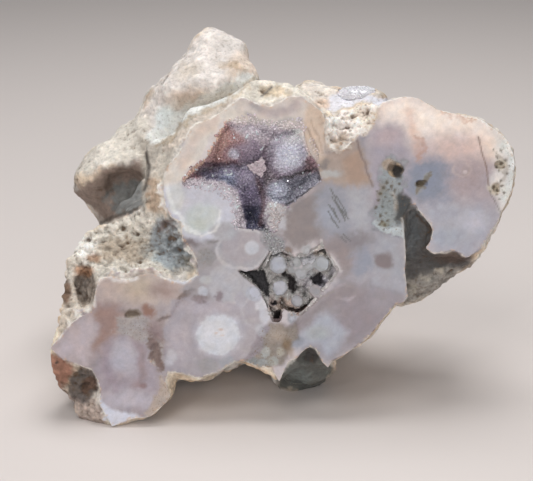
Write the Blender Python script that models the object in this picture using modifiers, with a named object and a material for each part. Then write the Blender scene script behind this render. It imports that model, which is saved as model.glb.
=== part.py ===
"""Pink amethyst geode: a sawn and polished face on a rough grown stone, with three crystal lined hollows.

The stone is modelled in the frame of its polished face. There u runs to the right along the face, v runs
up it and w is the depth behind it, all in millimetres. A point of the face frame is the Blender point
(u, v, -w) times MM. An empty leans that frame back by FACE_LEAN and stands the stone on the ground, which
cuts the small flat spots under its feet.

The outlines were traced from a picture that looks square onto the polished face, in picture points. Three
of them are one millimetre on the face. What lies deeper looks smaller, so at() spreads it again.
"""

import math

import bmesh
import bpy
from mathutils import Matrix, Vector, noise

MM = 0.001

# The stone's place
FACE_LEAN = 20.0  # degrees, back from upright
VIEW_DISTANCE = 450.0  # mm, from the picture's eye to the polished face
VIEW_CENTRE = (-5.2, 62.5)  # mm, where the picture's eye looks onto the face
POINTS_PER_MM = 3.0
FACE_ZERO = (282.0, 428.0)  # picture point of u = 0, v = 0, on the ground
MIDDLE = (0.35, 52.0)  # mm, x and y of the middle of the stone's box before it is moved to the origin

# The fine sizes
GAP = 0.3  # mm, between a crust and the stone
PLATE_DEPTH = 3.2  # mm, over which the outline of the polished face runs straight back
RIND_FRONT = 1.1  # mm, how far the rind stays behind the polished face
RIND_SLOPE = 0.55  # the rind's fall behind the face for each mm outside the polished outline
BODY_VOXEL = 1.5  # mm
BODY_FULLER = 1.1  # mm, which the body gets back after its edges are worn round
BODY_TRIANGLES = 3500

# The outline of the polished face, clockwise from its left corner
FACE_EDGE = (
    (50, 348), (58, 340), (66, 328), (78, 318), (92, 311), (95, 292), (99, 279), (110, 276), (127, 280),
    (140, 275), (150, 273), (172, 281), (184, 282), (198, 275), (197, 262), (192, 252), (182, 240), (181, 222),
    (170, 216), (165, 205), (163, 190), (164, 175), (168, 165), (178, 155), (188, 132), (195, 124), (207, 120),
    (220, 113), (232, 103), (242, 97), (258, 104), (270, 106), (281, 101), (290, 96), (300, 96), (308, 101),
    (323, 113), (326, 122), (324, 135), (330, 148), (342, 150), (352, 142), (356, 133), (368, 131), (374, 120),
    (377, 108), (383, 102), (405, 96), (418, 98), (436, 109), (447, 112), (472, 117), (482, 120), (500, 133),
    (508, 141), (513, 152), (515, 163), (512, 190), (507, 202), (501, 212), (499, 220), (486, 241), (480, 250),
    (466, 258), (460, 253), (452, 250), (434, 254), (425, 248), (430, 242), (433, 232), (431, 226), (420, 212),
    (415, 204), (408, 205), (403, 215), (404, 225), (406, 258), (405, 270), (408, 297), (404, 302), (394, 305),
    (384, 318), (366, 340), (346, 354), (332, 361), (328, 368), (322, 362), (317, 350), (311, 346), (304, 350),
    (297, 358), (288, 362), (279, 382), (272, 368), (258, 366), (245, 362), (236, 361), (218, 372), (199, 378),
    (180, 373), (168, 372), (165, 380), (170, 397), (165, 404), (150, 417), (131, 419), (112, 427), (105, 415),
    (98, 402), (101, 392), (98, 382), (92, 373), (82, 366), (62, 359),
)

# The outline of the front body, which the rind fills around the polished face
BODY_EDGE = (
    (112, 427), (97, 428), (88, 427), (80, 420), (76, 410), (62, 393), (56, 380), (51, 352), (58, 335),
    (64, 315), (68, 305), (62, 292), (63, 280), (69, 262), (76, 243), (88, 231), (110, 222), (135, 214),
    (146, 200), (145, 178), (150, 168), (144, 145), (150, 140), (170, 141), (178, 133), (185, 121), (195, 112),
    (210, 109), (222, 100), (232, 95), (240, 87), (256, 80), (277, 83), (290, 82), (305, 92), (316, 103),
    (325, 117), (350, 109), (378, 104), (405, 98), (436, 111), (482, 122), (500, 135), (512, 154), (511, 188),
    (498, 218), (480, 248), (466, 256), (452, 249), (434, 252), (432, 226), (416, 202), (404, 208), (404, 240),
    (404, 270), (406, 296), (394, 303), (366, 338), (346, 352), (332, 359), (317, 350), (304, 350), (288, 361),
    (279, 380), (258, 364), (236, 360), (218, 370), (199, 376), (168, 371), (168, 392), (150, 414), (131, 418),
)
# Depth in mm and size of each ring of the front body
BODY_RINGS = ((0.6, 0.985), (5.0, 1.0), (9.0, 0.985), (16.0, 0.95), (24.0, 0.87), (33.0, 0.72))
BODY_MIDDLE = (262, 240)

# The lobes that stand behind the front body: picture points of the front side, each with its depth in mm.
# The peak and the left lobe each have a ridge, from which the front side falls back to the lower points.
PEAK_LOBE = (
    (143, 118, 42), (150, 98, 42), (158, 86, 42), (174, 61, 43), (190, 47, 44), (212, 26, 47), (220, 28, 46),
    (233, 41, 43), (242, 60, 40), (260, 82, 36), (165, 94, 34), (204, 89, 31), (236, 86, 32), (262, 150, 42),
    (160, 190, 46),
)
LEFT_LOBE = (
    (140, 117, 44), (118, 130, 42), (95, 150, 40), (80, 164, 38), (69, 181, 38), (70, 189, 42), (79, 200, 46),
    (97, 215, 50), (112, 236, 52), (100, 163, 34), (124, 160, 34), (146, 148, 36), (190, 240, 50),
    (190, 130, 44),
)
TOP_LOBE = (
    (297, 86, 24), (305, 85, 24), (320, 86, 24), (335, 94, 20), (355, 98, 19), (384, 102, 19), (396, 150, 19),
    (290, 150, 19),
)
RIGHT_LOBE = (
    (402, 305, 20), (422, 292, 19), (450, 278, 18), (463, 270, 19), (470, 256, 20), (488, 232, 20),
    (494, 190, 19), (478, 146, 19), (410, 128, 19), (350, 170, 19), (350, 290, 20),
)

LOBE_BACK_SIZE = 0.72  # of the outline

# Rounded masses behind the face: centre u, v, w and radii, in mm
BACK_MASSES = (
    ((-12.0, 58.0, 38.0), (52.0, 38.0, 31.0)),
    ((-34.0, 41.0, 30.0), (31.0, 27.0, 26.0)),
    ((19.0, 61.0, 31.0), (27.0, 25.0, 25.0)),
    ((-40.0, 84.0, 48.0), (24.0, 24.0, 18.0)),
    ((42.0, 74.0, 22.0), (24.0, 20.0, 16.0)),
)

# Feet: u, depth w where the foot meets the ground, and radius, in mm
FEET = ((6.0, 33.0, 11.0), (12.0, 60.0, 17.0), (-36.0, 52.0, 17.0))
FOOT_SUNK = 2.2  # mm of each foot's ball that lies below the ground before the cut

# Hollows scooped out of the rind: picture point, w and radii in mm
RIND_SCOOPS = (
    ((124, 190), 36.0, (9.0, 9.0, 9.0)),
    ((140, 200), 36.0, (6.0, 10.0, 10.0)),
    ((226, 97), 32.0, (6.0, 4.5, 6.0)),
    ((206, 107), 32.0, (7.0, 5.5, 8.0)),
    ((186, 118), 33.0, (7.5, 6.0, 9.0)),
    ((166, 132), 34.0, (6.0, 6.0, 8.0)),
    ((85, 287), 5.0, (5.0, 9.5, 8.5)),
    ((170, 236), 5.0, (4.0, 7.0, 4.0)),
    ((152, 256), 4.5, (5.0, 3.0, 3.0)),
)

# The main hollow: its mouth on the face, in mm
MAIN_MOUTH = (
    (-17.7, 102.3), (-14.0, 101.3), (-10.0, 102.0), (-6.7, 100.7), (-2.3, 100.3), (5.0, 100.7), (7.3, 98.3),
    (8.0, 94.3), (11.3, 88.3), (12.3, 85.3), (13.0, 82.7), (7.7, 78.3), (2.0, 74.0), (-1.3, 75.0),
    (-4.7, 75.3), (-6.3, 70.7), (-3.3, 64.7), (-8.7, 66.3), (-15.3, 66.7), (-16.0, 68.7), (-14.7, 71.7),
    (-15.3, 77.3), (-20.7, 81.0), (-27.7, 81.3), (-32.7, 80.3), (-33.3, 82.7), (-30.3, 86.7), (-25.3, 89.7),
    (-22.0, 94.7), (-21.3, 98.0),
)
MAIN_RIM = 3.2  # mm, depth of the upright wall under the mouth's edge
MAIN_DEPTH = 15.5  # mm, of the floor away from the walls
MAIN_WALL = 6.5  # mm, over which the wall slopes down to the floor
MAIN_SQUARE = 2.5  # mm, across one square of the hollow's floor
# What rises from the floor: two ends u, v, depth of its top in mm, and how fast it falls away, per mm
MAIN_RISES = (
    ((1.2, 91.2), (1.2, 91.2), 2.6, 0.15),
    ((-1.3, 78.8), (-1.3, 78.8), 3.4, 0.3),
    ((-9.4, 87.5), (-8.6, 73.0), 11.2, 0.3),
    ((-19.0, 97.0), (-12.0, 98.5), 3.6, 0.11),
)
# What sinks below the floor: middle u, v, extra depth in mm and reach in mm
MAIN_SINKS = (((-11.0, 71.5), 5.0, 5.0), ((-24.0, 84.0), 2.5, 5.0), ((6.0, 81.5), 3.0, 5.0))

# The lower hollow and the small stalactites that were sawn off level with the face
LOWER_MOUTH = (
    (235, 268), (245, 272), (258, 269), (268, 255), (272, 247), (283, 250), (293, 256), (315, 248), (322, 243),
    (326, 252), (333, 260), (338, 270), (333, 278), (318, 298), (308, 308), (300, 315), (290, 313), (283, 308),
    (280, 322), (272, 322), (266, 304), (258, 288), (245, 278),
)
LOWER_DEPTH = 8.0  # mm
# Picture point and radius in picture points of each stalactite
STALACTITES = (
    ((278, 265), 9.5), ((280, 288), 8.0), ((321, 264), 8.5), ((301, 274), 6.5), ((308, 267), 5.0),
    ((315, 291), 6.5), ((297, 301), 6.5), ((292, 317), 5.0), ((291, 270), 4.0), ((306, 250), 5.0),
    ((254, 293), 7.0), ((297, 262), 5.0),
)
STALACTITE_SIDES = 10
POST_LENGTH = 30.0  # mm, of a stalactite's solid, which runs from before the face into the stone
POST_MIDDLE = 4.0  # mm, depth of the first one's middle
POST_STEP = 0.13  # mm
POST_TURN = 0.37  # radians
LOWER_CRUST = (7.7, 6.4, 1.1)  # mm: depth of its back, depth of its face, height of its crystals
LOWER_SQUARE = 3.5  # mm, across one square of the crust

# The druse pocket behind the top edge: picture point, w and radii in mm
TOP_POCKET = ((358, 97), 25.0, (8.5, 4.6, 7.0))
TOP_POCKET_CRUST = 1.3  # mm thick

# Pits in the polished face: picture point, w and radii in mm
FACE_PITS = (
    ((395, 170), 1.5, (3.0, 2.9, 4.0)),
    ((422, 183), 0.4, (2.0, 1.0, 1.6)),
    ((132, 315), 0.2, (2.6, 1.3, 1.5)),
    ((84, 385), 1.0, (5.0, 6.3, 4.8)),
    ((155, 354), 0.2, (1.8, 4.0, 1.5)),
    ((390, 205), 0.4, (3.0, 5.5, 1.4)),
    ((309, 362), 1.5, (3.4, 4.6, 3.6)),
    ((499, 165), 1.0, (2.0, 1.6, 1.8)),
    ((496, 188), 1.0, (1.4, 1.8, 1.6)),
)

CRUST_STONE = 1.3  # mm, how far the foot of the crystals stands off the hollow's floor
CRYSTAL_HEIGHT = 1.2  # mm

PARTS = "pink_amethyst_geode"
CUTTERS = "cutters"
WIDE = 400.0  # mm, more than the stone measures in any direction


def at(point, w=0.0):
    """u and v in mm of a picture point at depth w."""
    u = (point[0] - FACE_ZERO[0]) / POINTS_PER_MM
    v = (FACE_ZERO[1] - point[1]) / POINTS_PER_MM
    spread = 1.0 + w / VIEW_DISTANCE
    return (
        VIEW_CENTRE[0] + (u - VIEW_CENTRE[0]) * spread,
        VIEW_CENTRE[1] + (v - VIEW_CENTRE[1]) * spread,
    )


def place(u, v, w):
    """The Blender point of a point of the face frame."""
    return Vector((u, v, -w)) * MM


def over_ground(u, w, height):
    """u, v, w of the point that stands height above the ground's point at u and depth w."""
    lean = math.radians(FACE_LEAN)
    return (u, w * math.tan(lean) + height * math.cos(lean), w - height * math.sin(lean))


def clear_scene():
    """Removes all objects."""
    for old in list(bpy.data.objects):
        bpy.data.objects.remove(old)


def collection(name):
    """The collection of that name, made once."""
    found = bpy.data.collections.get(name)
    if found is None:
        found = bpy.data.collections.new(name)
        bpy.context.scene.collection.children.link(found)
    return found


def new_object(name, form, group=CUTTERS):
    """An object of a bmesh, which is freed. A cutter isn't rendered."""
    mesh = bpy.data.meshes.new(name)
    form.to_mesh(mesh)
    form.free()
    made = bpy.data.objects.new(name, mesh)
    collection(group).objects.link(made)
    if group == CUTTERS:
        made.hide_render = True
        made.display_type = "WIRE"
    return made


def copied(source, name):
    """A cutter with a copy of the source's mesh."""
    form = bmesh.new()
    form.from_mesh(source.data)
    return new_object(name, form)


def settle(made):
    """Turns the object's modifiers into its mesh."""
    bpy.context.view_layer.update()
    seen = made.evaluated_get(bpy.context.evaluated_depsgraph_get())
    mesh = bpy.data.meshes.new_from_object(seen)
    made.modifiers.clear()
    old = made.data
    made.data = mesh
    bpy.data.meshes.remove(old)


def remesh(made, voxel):
    """Turns what the object holds into one skin of the given voxel size."""
    step = made.modifiers.new("skin", "REMESH")
    step.mode = "VOXEL"
    step.voxel_size = voxel * MM
    settle(made)


def smooth(made, times):
    """Rounds the object's edges."""
    step = made.modifiers.new("worn", "SMOOTH")
    step.factor = 0.5
    step.iterations = times
    settle(made)


def thin_out(made, triangles):
    """Reduces the mesh to about that many triangles."""
    form = bmesh.new()
    form.from_mesh(made.data)
    bmesh.ops.triangulate(form, faces=form.faces)
    before = len(form.faces)
    form.to_mesh(made.data)
    form.free()
    step = made.modifiers.new("thinned", "DECIMATE")
    step.ratio = min(1.0, triangles / before)
    settle(made)


def cut(made, tool, operation="DIFFERENCE"):
    """One exact Boolean, turned into the object's mesh."""
    step = made.modifiers.new(tool.name, "BOOLEAN")
    step.operation = operation
    step.solver = "EXACT"
    step.object = tool
    settle(made)


def join(parts, name):
    """One cutter object that holds the meshes of all parts, which are removed."""
    form = bmesh.new()
    for part in parts:
        form.from_mesh(part.data)
    made = new_object(name, form)
    for part in parts:
        bpy.data.objects.remove(part)
    return made


def flat_outline(name, outline, front, back):
    """A closed outline in mm between two depths, from a filled 2D curve with an extrusion."""
    curve = bpy.data.curves.new(name, "CURVE")
    curve.dimensions = "2D"
    curve.fill_mode = "BOTH"
    curve.extrude = (back - front) / 2 * MM
    line = curve.splines.new("POLY")
    line.points.add(len(outline) - 1)
    for spot, (u, v) in zip(line.points, outline):
        spot.co = (u * MM, v * MM, 0.0, 1.0)
    line.use_cyclic_u = True
    guide = bpy.data.objects.new(name, curve)
    collection(CUTTERS).objects.link(guide)
    guide.location = place(0.0, 0.0, (front + back) / 2)
    bpy.context.view_layer.update()
    seen = guide.evaluated_get(bpy.context.evaluated_depsgraph_get())
    form = bmesh.new()
    form.from_mesh(bpy.data.meshes.new_from_object(seen))
    form.transform(guide.matrix_world)
    bmesh.ops.remove_doubles(form, verts=form.verts, dist=0.00001)
    bmesh.ops.recalc_face_normals(form, faces=form.faces)
    bpy.data.objects.remove(guide)
    return new_object(name, form)


def loft(name, outline, middle, rings):
    """An outline in mm, carried back through rings of depth and size about a middle point."""
    form = bmesh.new()
    depth, size = rings[0]
    corners = [
        form.verts.new(place(middle[0] + (u - middle[0]) * size, middle[1] + (v - middle[1]) * size, depth))
        for u, v in outline
    ]
    face = form.faces.new(corners)
    pivot = place(middle[0], middle[1], 0.0)
    for next_depth, next_size in rings[1:]:
        grown = bmesh.ops.extrude_face_region(form, geom=[face], use_keep_orig=depth == rings[0][0])
        face = next(part for part in grown["geom"] if isinstance(part, bmesh.types.BMFace))
        ratio = next_size / size
        for corner in face.verts:
            corner.co.x = pivot.x + (corner.co.x - pivot.x) * ratio
            corner.co.y = pivot.y + (corner.co.y - pivot.y) * ratio
            corner.co.z = -next_depth * MM
        depth, size = next_depth, next_size
    bmesh.ops.recalc_face_normals(form, faces=form.faces)
    return new_object(name, form)


def ball(name, centre, radii, fineness=4):
    """An ellipsoid with its centre u, v, w and its radii in mm."""
    form = bmesh.new()
    bmesh.ops.create_icosphere(form, subdivisions=fineness, radius=1.0)
    for spot in form.verts:
        spot.co = place(
            centre[0] + spot.co.x * radii[0],
            centre[1] + spot.co.y * radii[1],
            centre[2] - spot.co.z * radii[2],
        )
    return new_object(name, form)


def hull(name, balls):
    """The convex lump around balls, each given by its Blender point and its radius in mm."""
    form = bmesh.new()
    for centre, radius in balls:
        bmesh.ops.create_icosphere(
            form, subdivisions=2, radius=radius * MM, matrix=Matrix.Translation(centre)
        )
    skin = bmesh.ops.convex_hull(form, input=form.verts)
    inner = {part for part in skin["geom_interior"] + skin["geom_unused"] if isinstance(part, bmesh.types.BMVert)}
    bmesh.ops.delete(form, geom=list(inner), context="VERTS")
    bmesh.ops.recalc_face_normals(form, faces=form.faces)
    return new_object(name, form)


def lobe(name, front, back, rounding):
    """The convex lump between the points of a front side and the same outline, smaller, at the back."""
    spots = [(*at((x, y), w), w) for x, y, w in front]
    middle = (sum(u for u, v, w in spots) / len(spots), sum(v for u, v, w in spots) / len(spots))
    balls = []
    for u, v, w in spots:
        away = math.dist((u, v), middle)
        for depth, size in ((w + rounding, 1.0), ((w + back) / 2, 1.0), (back - rounding, LOBE_BACK_SIZE)):
            kept = size * (away - rounding) / away
            centre = place(middle[0] + (u - middle[0]) * kept, middle[1] + (v - middle[1]) * kept, depth)
            balls.append((centre, rounding))
    return hull(name, balls)


def ground():
    """The block under the ground, whose top cuts the feet flat."""
    form = bmesh.new()
    bmesh.ops.create_cube(form, size=1.0)
    form.transform(
        Matrix.Rotation(math.radians(FACE_LEAN - 90.0), 4, "X")
        @ Matrix.Translation((0.0, 0.0, -WIDE / 8 * MM))
        @ Matrix.Diagonal((WIDE * MM, WIDE * MM, WIDE / 4 * MM, 1.0))
    )
    return new_object("ground", form)


def front_block(name, depth):
    """The block that fills all space in front of the given depth."""
    form = bmesh.new()
    bmesh.ops.create_cube(form, size=1.0)
    form.transform(
        Matrix.Translation(place(0.0, 0.0, depth - WIDE / 8))
        @ Matrix.Diagonal((WIDE * MM, WIDE * MM, WIDE / 4 * MM, 1.0))
    )
    return new_object(name, form)


def to_line(spot, start, end):
    """The distance from a point to the line between two ends."""
    way = Vector(end) - Vector(start)
    share = 0.0
    if way.length > 0.0:
        share = min(1.0, max(0.0, (Vector(spot) - Vector(start)).dot(way) / way.length_squared))
    return (Vector(spot) - Vector(start) - way * share).length


def inside_by(spot, outline):
    """How far a point lies inside a closed outline, less than 0 outside it."""
    inside = False
    nearest = WIDE
    for start, end in zip(outline, outline[1:] + outline[:1]):
        if (start[1] > spot[1]) != (end[1] > spot[1]):
            crossing = start[0] + (spot[1] - start[1]) / (end[1] - start[1]) * (end[0] - start[0])
            inside ^= spot[0] < crossing
        nearest = min(nearest, to_line(spot, start, end))
    return nearest if inside else -nearest


def roughen(made, edge):
    """Gives the body its lumps and knobs, and keeps the rind behind the polished face."""
    mesh = made.data
    normals = [corner.vector.copy() for corner in mesh.vertex_normals]
    for spot, normal in zip(mesh.vertices, normals):
        here = spot.co / MM
        lumps = 2.4 * noise.noise(here / 17.0) + 1.9 * noise.noise(here / 8.0 + Vector((7.0, 3.0, 1.0)))
        cells = noise.voronoi(here / 14.0)[0]
        knobs = 3.6 * (0.45 - cells[0])
        depth = -here.z
        strength = min(1.0, 0.3 + max(0.0, depth) / 16.0)
        spot.co += normal * ((lumps + knobs) * strength + BODY_FULLER) * MM
    for spot in mesh.vertices:
        depth = -spot.co.z / MM
        if depth < 14.0:
            away = max(0.0, -inside_by((spot.co.x / MM, spot.co.y / MM), edge))
            least = RIND_FRONT + RIND_SLOPE * min(away, 14.0)
            uneven = 0.5 * noise.noise(spot.co / MM / 5.0)
            spot.co.z = min(spot.co.z, -(least + uneven) * MM)
    mesh.update()


def rough_body():
    """The grown stone without its polished face: front body, lobes, back and feet in one skin."""
    edge = [at(point, 5.0) for point in BODY_EDGE]
    parts = [
        loft("front_body", edge, at(BODY_MIDDLE), BODY_RINGS),
        lobe("peak_lobe", PEAK_LOBE, 61.0, 3.0),
        lobe("left_lobe", LEFT_LOBE, 66.0, 3.5),
        lobe("top_lobe", TOP_LOBE, 46.0, 3.0),
        lobe("right_lobe", RIGHT_LOBE, 44.0, 3.5),
    ]
    for number, (centre, radii) in enumerate(BACK_MASSES):
        parts.append(ball(f"back_mass_{number}", centre, radii))
    for number, (u, w, radius) in enumerate(FEET):
        centre = over_ground(u, w, radius - FOOT_SUNK)
        parts.append(ball(f"foot_{number}", centre, (radius, radius, radius)))
    parts.append(apron())
    body = join(parts, "rough_body")
    remesh(body, BODY_VOXEL)
    scoops = join(
        [
            ball(f"scoop_{number}", (*at(point, w), w), radii)
            for number, (point, w, radii) in enumerate(RIND_SCOOPS)
        ],
        "rind_scoops",
    )
    remesh(scoops, BODY_VOXEL)
    cut(body, scoops)
    remesh(body, BODY_VOXEL)
    smooth(body, 6)
    roughen(body, [at(point) for point in FACE_EDGE])
    thin_out(body, BODY_TRIANGLES)
    return body


def apron():
    """The slope from the lower edge of the face back and down to the middle foot."""
    tops = (((288, 352), 3.0, 3.0), ((322, 348), 3.0, 3.0), ((300, 330), 14.0, 8.0))
    balls = [(place(*at(point, w), w), radius) for point, w, radius in tops]
    balls += [(place(*over_ground(u, 31.0, 5.0)), 5.0) for u in (2.0, 10.5)]
    return hull("apron", balls)


def main_depth(u, v):
    """Depth of the main hollow's floor at u and v, in mm."""
    inward = inside_by((u, v), MAIN_MOUTH)
    share = min(1.0, max(0.0, inward / MAIN_WALL))
    depth = MAIN_RIM + (MAIN_DEPTH - MAIN_RIM) * math.sin(share * math.pi / 2)
    for middle, extra, reach in MAIN_SINKS:
        depth += extra * share * math.exp(-((math.dist((u, v), middle) / reach) ** 2))
    depth += 0.9 * share * noise.noise(Vector((u, v, 0.0)) / 3.5)
    for start, end, top, fall in MAIN_RISES:
        depth = min(depth, top + fall * to_line((u, v), start, end) ** 2)
    return max(depth, MAIN_RIM * 0.8)


def bed(name, mouth, square, depth_at, shift, front, crystals=0.0):
    """A block between the depth that depth_at(u, v) gives, less shift, and the given front depth.

    It covers the mouth's box in squares, with low pointed crystals on its back where crystals isn't 0.
    """
    low = (min(u for u, v in mouth) - square, min(v for u, v in mouth) - square)
    high = (max(u for u, v in mouth) + square, max(v for u, v in mouth) + square)
    across = math.ceil((high[0] - low[0]) / square)
    up = math.ceil((high[1] - low[1]) / square)
    form = bmesh.new()
    bmesh.ops.create_grid(
        form,
        x_segments=across,
        y_segments=up,
        size=0.5,
        matrix=Matrix.Translation(place((low[0] + high[0]) / 2, (low[1] + high[1]) / 2, 0.0))
        @ Matrix.Diagonal((across * square * MM, up * square * MM, 1.0, 1.0)),
    )
    for spot in form.verts:
        uneven = noise.noise_vector(spot.co / MM / 3.0 + Vector((0.3, 0.1, 0.7))) * square * 0.3 * MM
        spot.co.x += uneven.x
        spot.co.y += uneven.y
        spot.co.z = -(depth_at(spot.co.x / MM, spot.co.y / MM) - shift) * MM
    if not crystals:
        bmesh.ops.triangulate(form, faces=form.faces, quad_method="FIXED")
    floor = form.faces[:]
    grown = bmesh.ops.extrude_face_region(form, geom=floor, use_keep_orig=True)
    for spot in grown["geom"]:
        if isinstance(spot, bmesh.types.BMVert):
            spot.co.z = -front * MM
    bmesh.ops.recalc_face_normals(form, faces=form.faces)
    if crystals:
        floor = [face for face in floor if face.is_valid]
        normals = [face.normal.copy() for face in floor]
        tips = bmesh.ops.poke(form, faces=floor)["verts"]
        for tip, normal in zip(tips, normals):
            tall = crystals * (0.8 + 0.6 * noise.noise(tip.co / MM / 1.7))
            tip.co -= normal * tall * MM
    return new_object(name, form)


def main_hollow():
    """The space of the main hollow and the crust that lines it."""
    space = bed("main_hollow", MAIN_MOUTH, MAIN_SQUARE, main_depth, 0.0, -4.0)
    cut(space, flat_outline("main_mouth", MAIN_MOUTH, -3.0, MAIN_DEPTH * 2), "INTERSECT")
    crust = bed("main_hollow_crystals", MAIN_MOUTH, MAIN_SQUARE, main_depth, GAP, -4.0)
    inner = bed("inner", MAIN_MOUTH, MAIN_SQUARE, main_depth, CRUST_STONE, -5.0, CRYSTAL_HEIGHT)
    cut(crust, inner)
    cut(crust, flat_outline("main_bound", inset(MAIN_MOUTH, GAP), -3.0, MAIN_DEPTH * 2), "INTERSECT")
    return space, crust


def shrunk(source, name, distance):
    """A copy of a closed form whose skin lies the given distance in mm further in."""
    made = copied(source, name)
    form = bmesh.new()
    form.from_mesh(made.data)
    form.normal_update()
    moves = [(spot, spot.normal * spot.calc_shell_factor()) for spot in form.verts]
    for spot, move in moves:
        spot.co -= move * distance * MM
    form.to_mesh(made.data)
    form.free()
    return made


def crystal_skin(made, height):
    """Raises a low pointed crystal on each face, to the inner side of a closed form."""
    form = bmesh.new()
    form.from_mesh(made.data)
    form.normal_update()
    normals = [face.normal.copy() for face in form.faces]
    tips = bmesh.ops.poke(form, faces=form.faces[:])["verts"]
    for tip, normal in zip(tips, normals):
        tall = height * (0.75 + 0.5 * noise.noise(tip.co / MM / 2.0))
        tip.co -= normal * tall * MM
    form.to_mesh(made.data)
    form.free()


def lower_hollow():
    """The space of the lower hollow, with the stalactites left standing, and its bare outline."""
    mouth = [at(point) for point in LOWER_MOUTH]
    space = flat_outline("lower_hollow", mouth, -3.0, LOWER_DEPTH)
    return space, mouth


def stalactites(name, extra):
    """The stalactites as posts in one skin, each wider by extra mm.

    Each post is turned and set a little deeper than the one before, so that no two share a side or an end.
    """
    posts = []
    for number, (point, radius) in enumerate(STALACTITES):
        u, v = at(point)
        width = (radius / POINTS_PER_MM + extra) * MM
        form = bmesh.new()
        bmesh.ops.create_cone(
            form,
            cap_ends=True,
            segments=STALACTITE_SIDES,
            radius1=width,
            radius2=width,
            depth=POST_LENGTH * MM,
            matrix=Matrix.Translation(place(u, v, POST_MIDDLE + POST_STEP * number))
            @ Matrix.Rotation(POST_TURN * number, 4, "Z"),
        )
        posts.append(new_object(f"post_{number}", form))
    whole = posts[0]
    for post in posts[1:]:
        cut(whole, post, "UNION")
        bpy.data.objects.remove(post)
    whole.name = name
    return whole


def lower_crust(mouth):
    """The crust between the stalactites, with a low crystal on each square."""
    back, face, height = LOWER_CRUST
    crust = bed("lower_hollow_crystals", mouth, LOWER_SQUARE, lambda u, v: back, 0.0, -4.0)
    inner = bed("inner", mouth, LOWER_SQUARE, lambda u, v: face, 0.0, -5.0, height)
    cut(crust, inner)
    cut(crust, flat_outline("lower_bound", inset(mouth, GAP), -3.0, back + 1.0), "INTERSECT")
    cut(crust, stalactites("posts_with_gap", GAP))
    return crust


def inset(outline, distance):
    """The closed outline moved inward by the given distance in mm, for one that runs clockwise."""
    moved = []
    count = len(outline)
    for number, here in enumerate(outline):
        before = Vector(here) - Vector(outline[number - 1])
        after = Vector(outline[(number + 1) % count]) - Vector(here)
        inward = Vector((before.y, -before.x)).normalized() + Vector((after.y, -after.x)).normalized()
        inward.normalize()
        square = abs(inward.dot(Vector((after.y, -after.x)).normalized()))
        moved.append(tuple(Vector(here) + inward * distance / max(0.35, square)))
    return moved


def tidy(made):
    """Merges what is closer than 0.02 mm and drops faces without an area."""
    form = bmesh.new()
    form.from_mesh(made.data)
    bmesh.ops.remove_doubles(form, verts=form.verts, dist=0.00002)
    bmesh.ops.dissolve_degenerate(form, edges=form.edges, dist=0.00002)
    bmesh.ops.triangulate(form, faces=form.faces)
    form.to_mesh(made.data)
    form.free()


def keep_largest(made):
    """Keeps the largest of the object's separate bodies, because a cut can leave crumbs."""
    form = bmesh.new()
    form.from_mesh(made.data)
    unseen = set(form.verts)
    bodies = []
    while unseen:
        body = {unseen.pop()}
        edge = list(body)
        while edge:
            for link in edge.pop().link_edges:
                for spot in link.verts:
                    if spot in unseen:
                        unseen.remove(spot)
                        body.add(spot)
                        edge.append(spot)
        bodies.append(body)
    bodies.sort(key=len, reverse=True)
    crumbs = [spot for body in bodies[1:] for spot in body]
    bmesh.ops.delete(form, geom=crumbs, context="VERTS")
    form.to_mesh(made.data)
    form.free()


def finish(made, colour, roughness, frame):
    """Makes a modelled object a part: its material, its place in the frame and its shading."""
    keep_largest(made)
    tidy(made)
    collection(CUTTERS).objects.unlink(made)
    collection(PARTS).objects.link(made)
    made.hide_render = False
    made.display_type = "TEXTURED"
    material = bpy.data.materials.new(made.name)
    material.use_nodes = True
    shader = material.node_tree.nodes["Principled BSDF"]
    shader.inputs["Base Color"].default_value = (*colour, 1.0)
    shader.inputs["Roughness"].default_value = roughness
    shader.inputs["Metallic"].default_value = 0.0
    made.data.materials.clear()
    made.data.materials.append(material)
    made.parent = frame


def main():
    """Builds the geode and its crusts."""
    clear_scene()
    frame = bpy.data.objects.new("face_frame", None)
    collection(PARTS).objects.link(frame)
    frame.rotation_euler = (math.radians(90.0 - FACE_LEAN), 0.0, 0.0)
    frame.location = (-MIDDLE[0] * MM, -MIDDLE[1] * MM, 0.0)

    stone = rough_body()
    stone.name = "geode_stone"
    cut(stone, front_block("sawn_off", RIND_FRONT - 0.6))
    cut(stone, flat_outline("polished_plate", [at(point) for point in FACE_EDGE], 0.0, PLATE_DEPTH), "UNION")

    main_space, main_crust = main_hollow()
    cut(stone, main_space)

    low_space, mouth = lower_hollow()
    cut(low_space, stalactites("posts", 0.0))
    cut(stone, low_space)
    low_crust = lower_crust(mouth)

    point, w, radii = TOP_POCKET
    pocket = ball("top_pocket", (*at(point, w), w), radii, 2)
    before = copied(stone, "stone_before_the_pocket")
    top_crust = shrunk(pocket, "top_hollow_crystals", GAP)
    cut(top_crust, before, "INTERSECT")
    inner = shrunk(pocket, "top_pocket_space", TOP_POCKET_CRUST)
    crystal_skin(inner, CRYSTAL_HEIGHT / 2)
    cut(top_crust, inner)
    cut(stone, pocket)

    for number, (point, w, radii) in enumerate(FACE_PITS):
        cut(stone, ball(f"pit_{number}", (*at(point, w), w), radii, 2))
    cut(stone, ground())

    finish(stone, (0.62, 0.50, 0.47), 0.45, frame)
    finish(main_crust, (0.60, 0.50, 0.58), 0.2, frame)
    finish(low_crust, (0.72, 0.65, 0.62), 0.3, frame)
    finish(top_crust, (0.75, 0.70, 0.75), 0.25, frame)


main()
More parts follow.
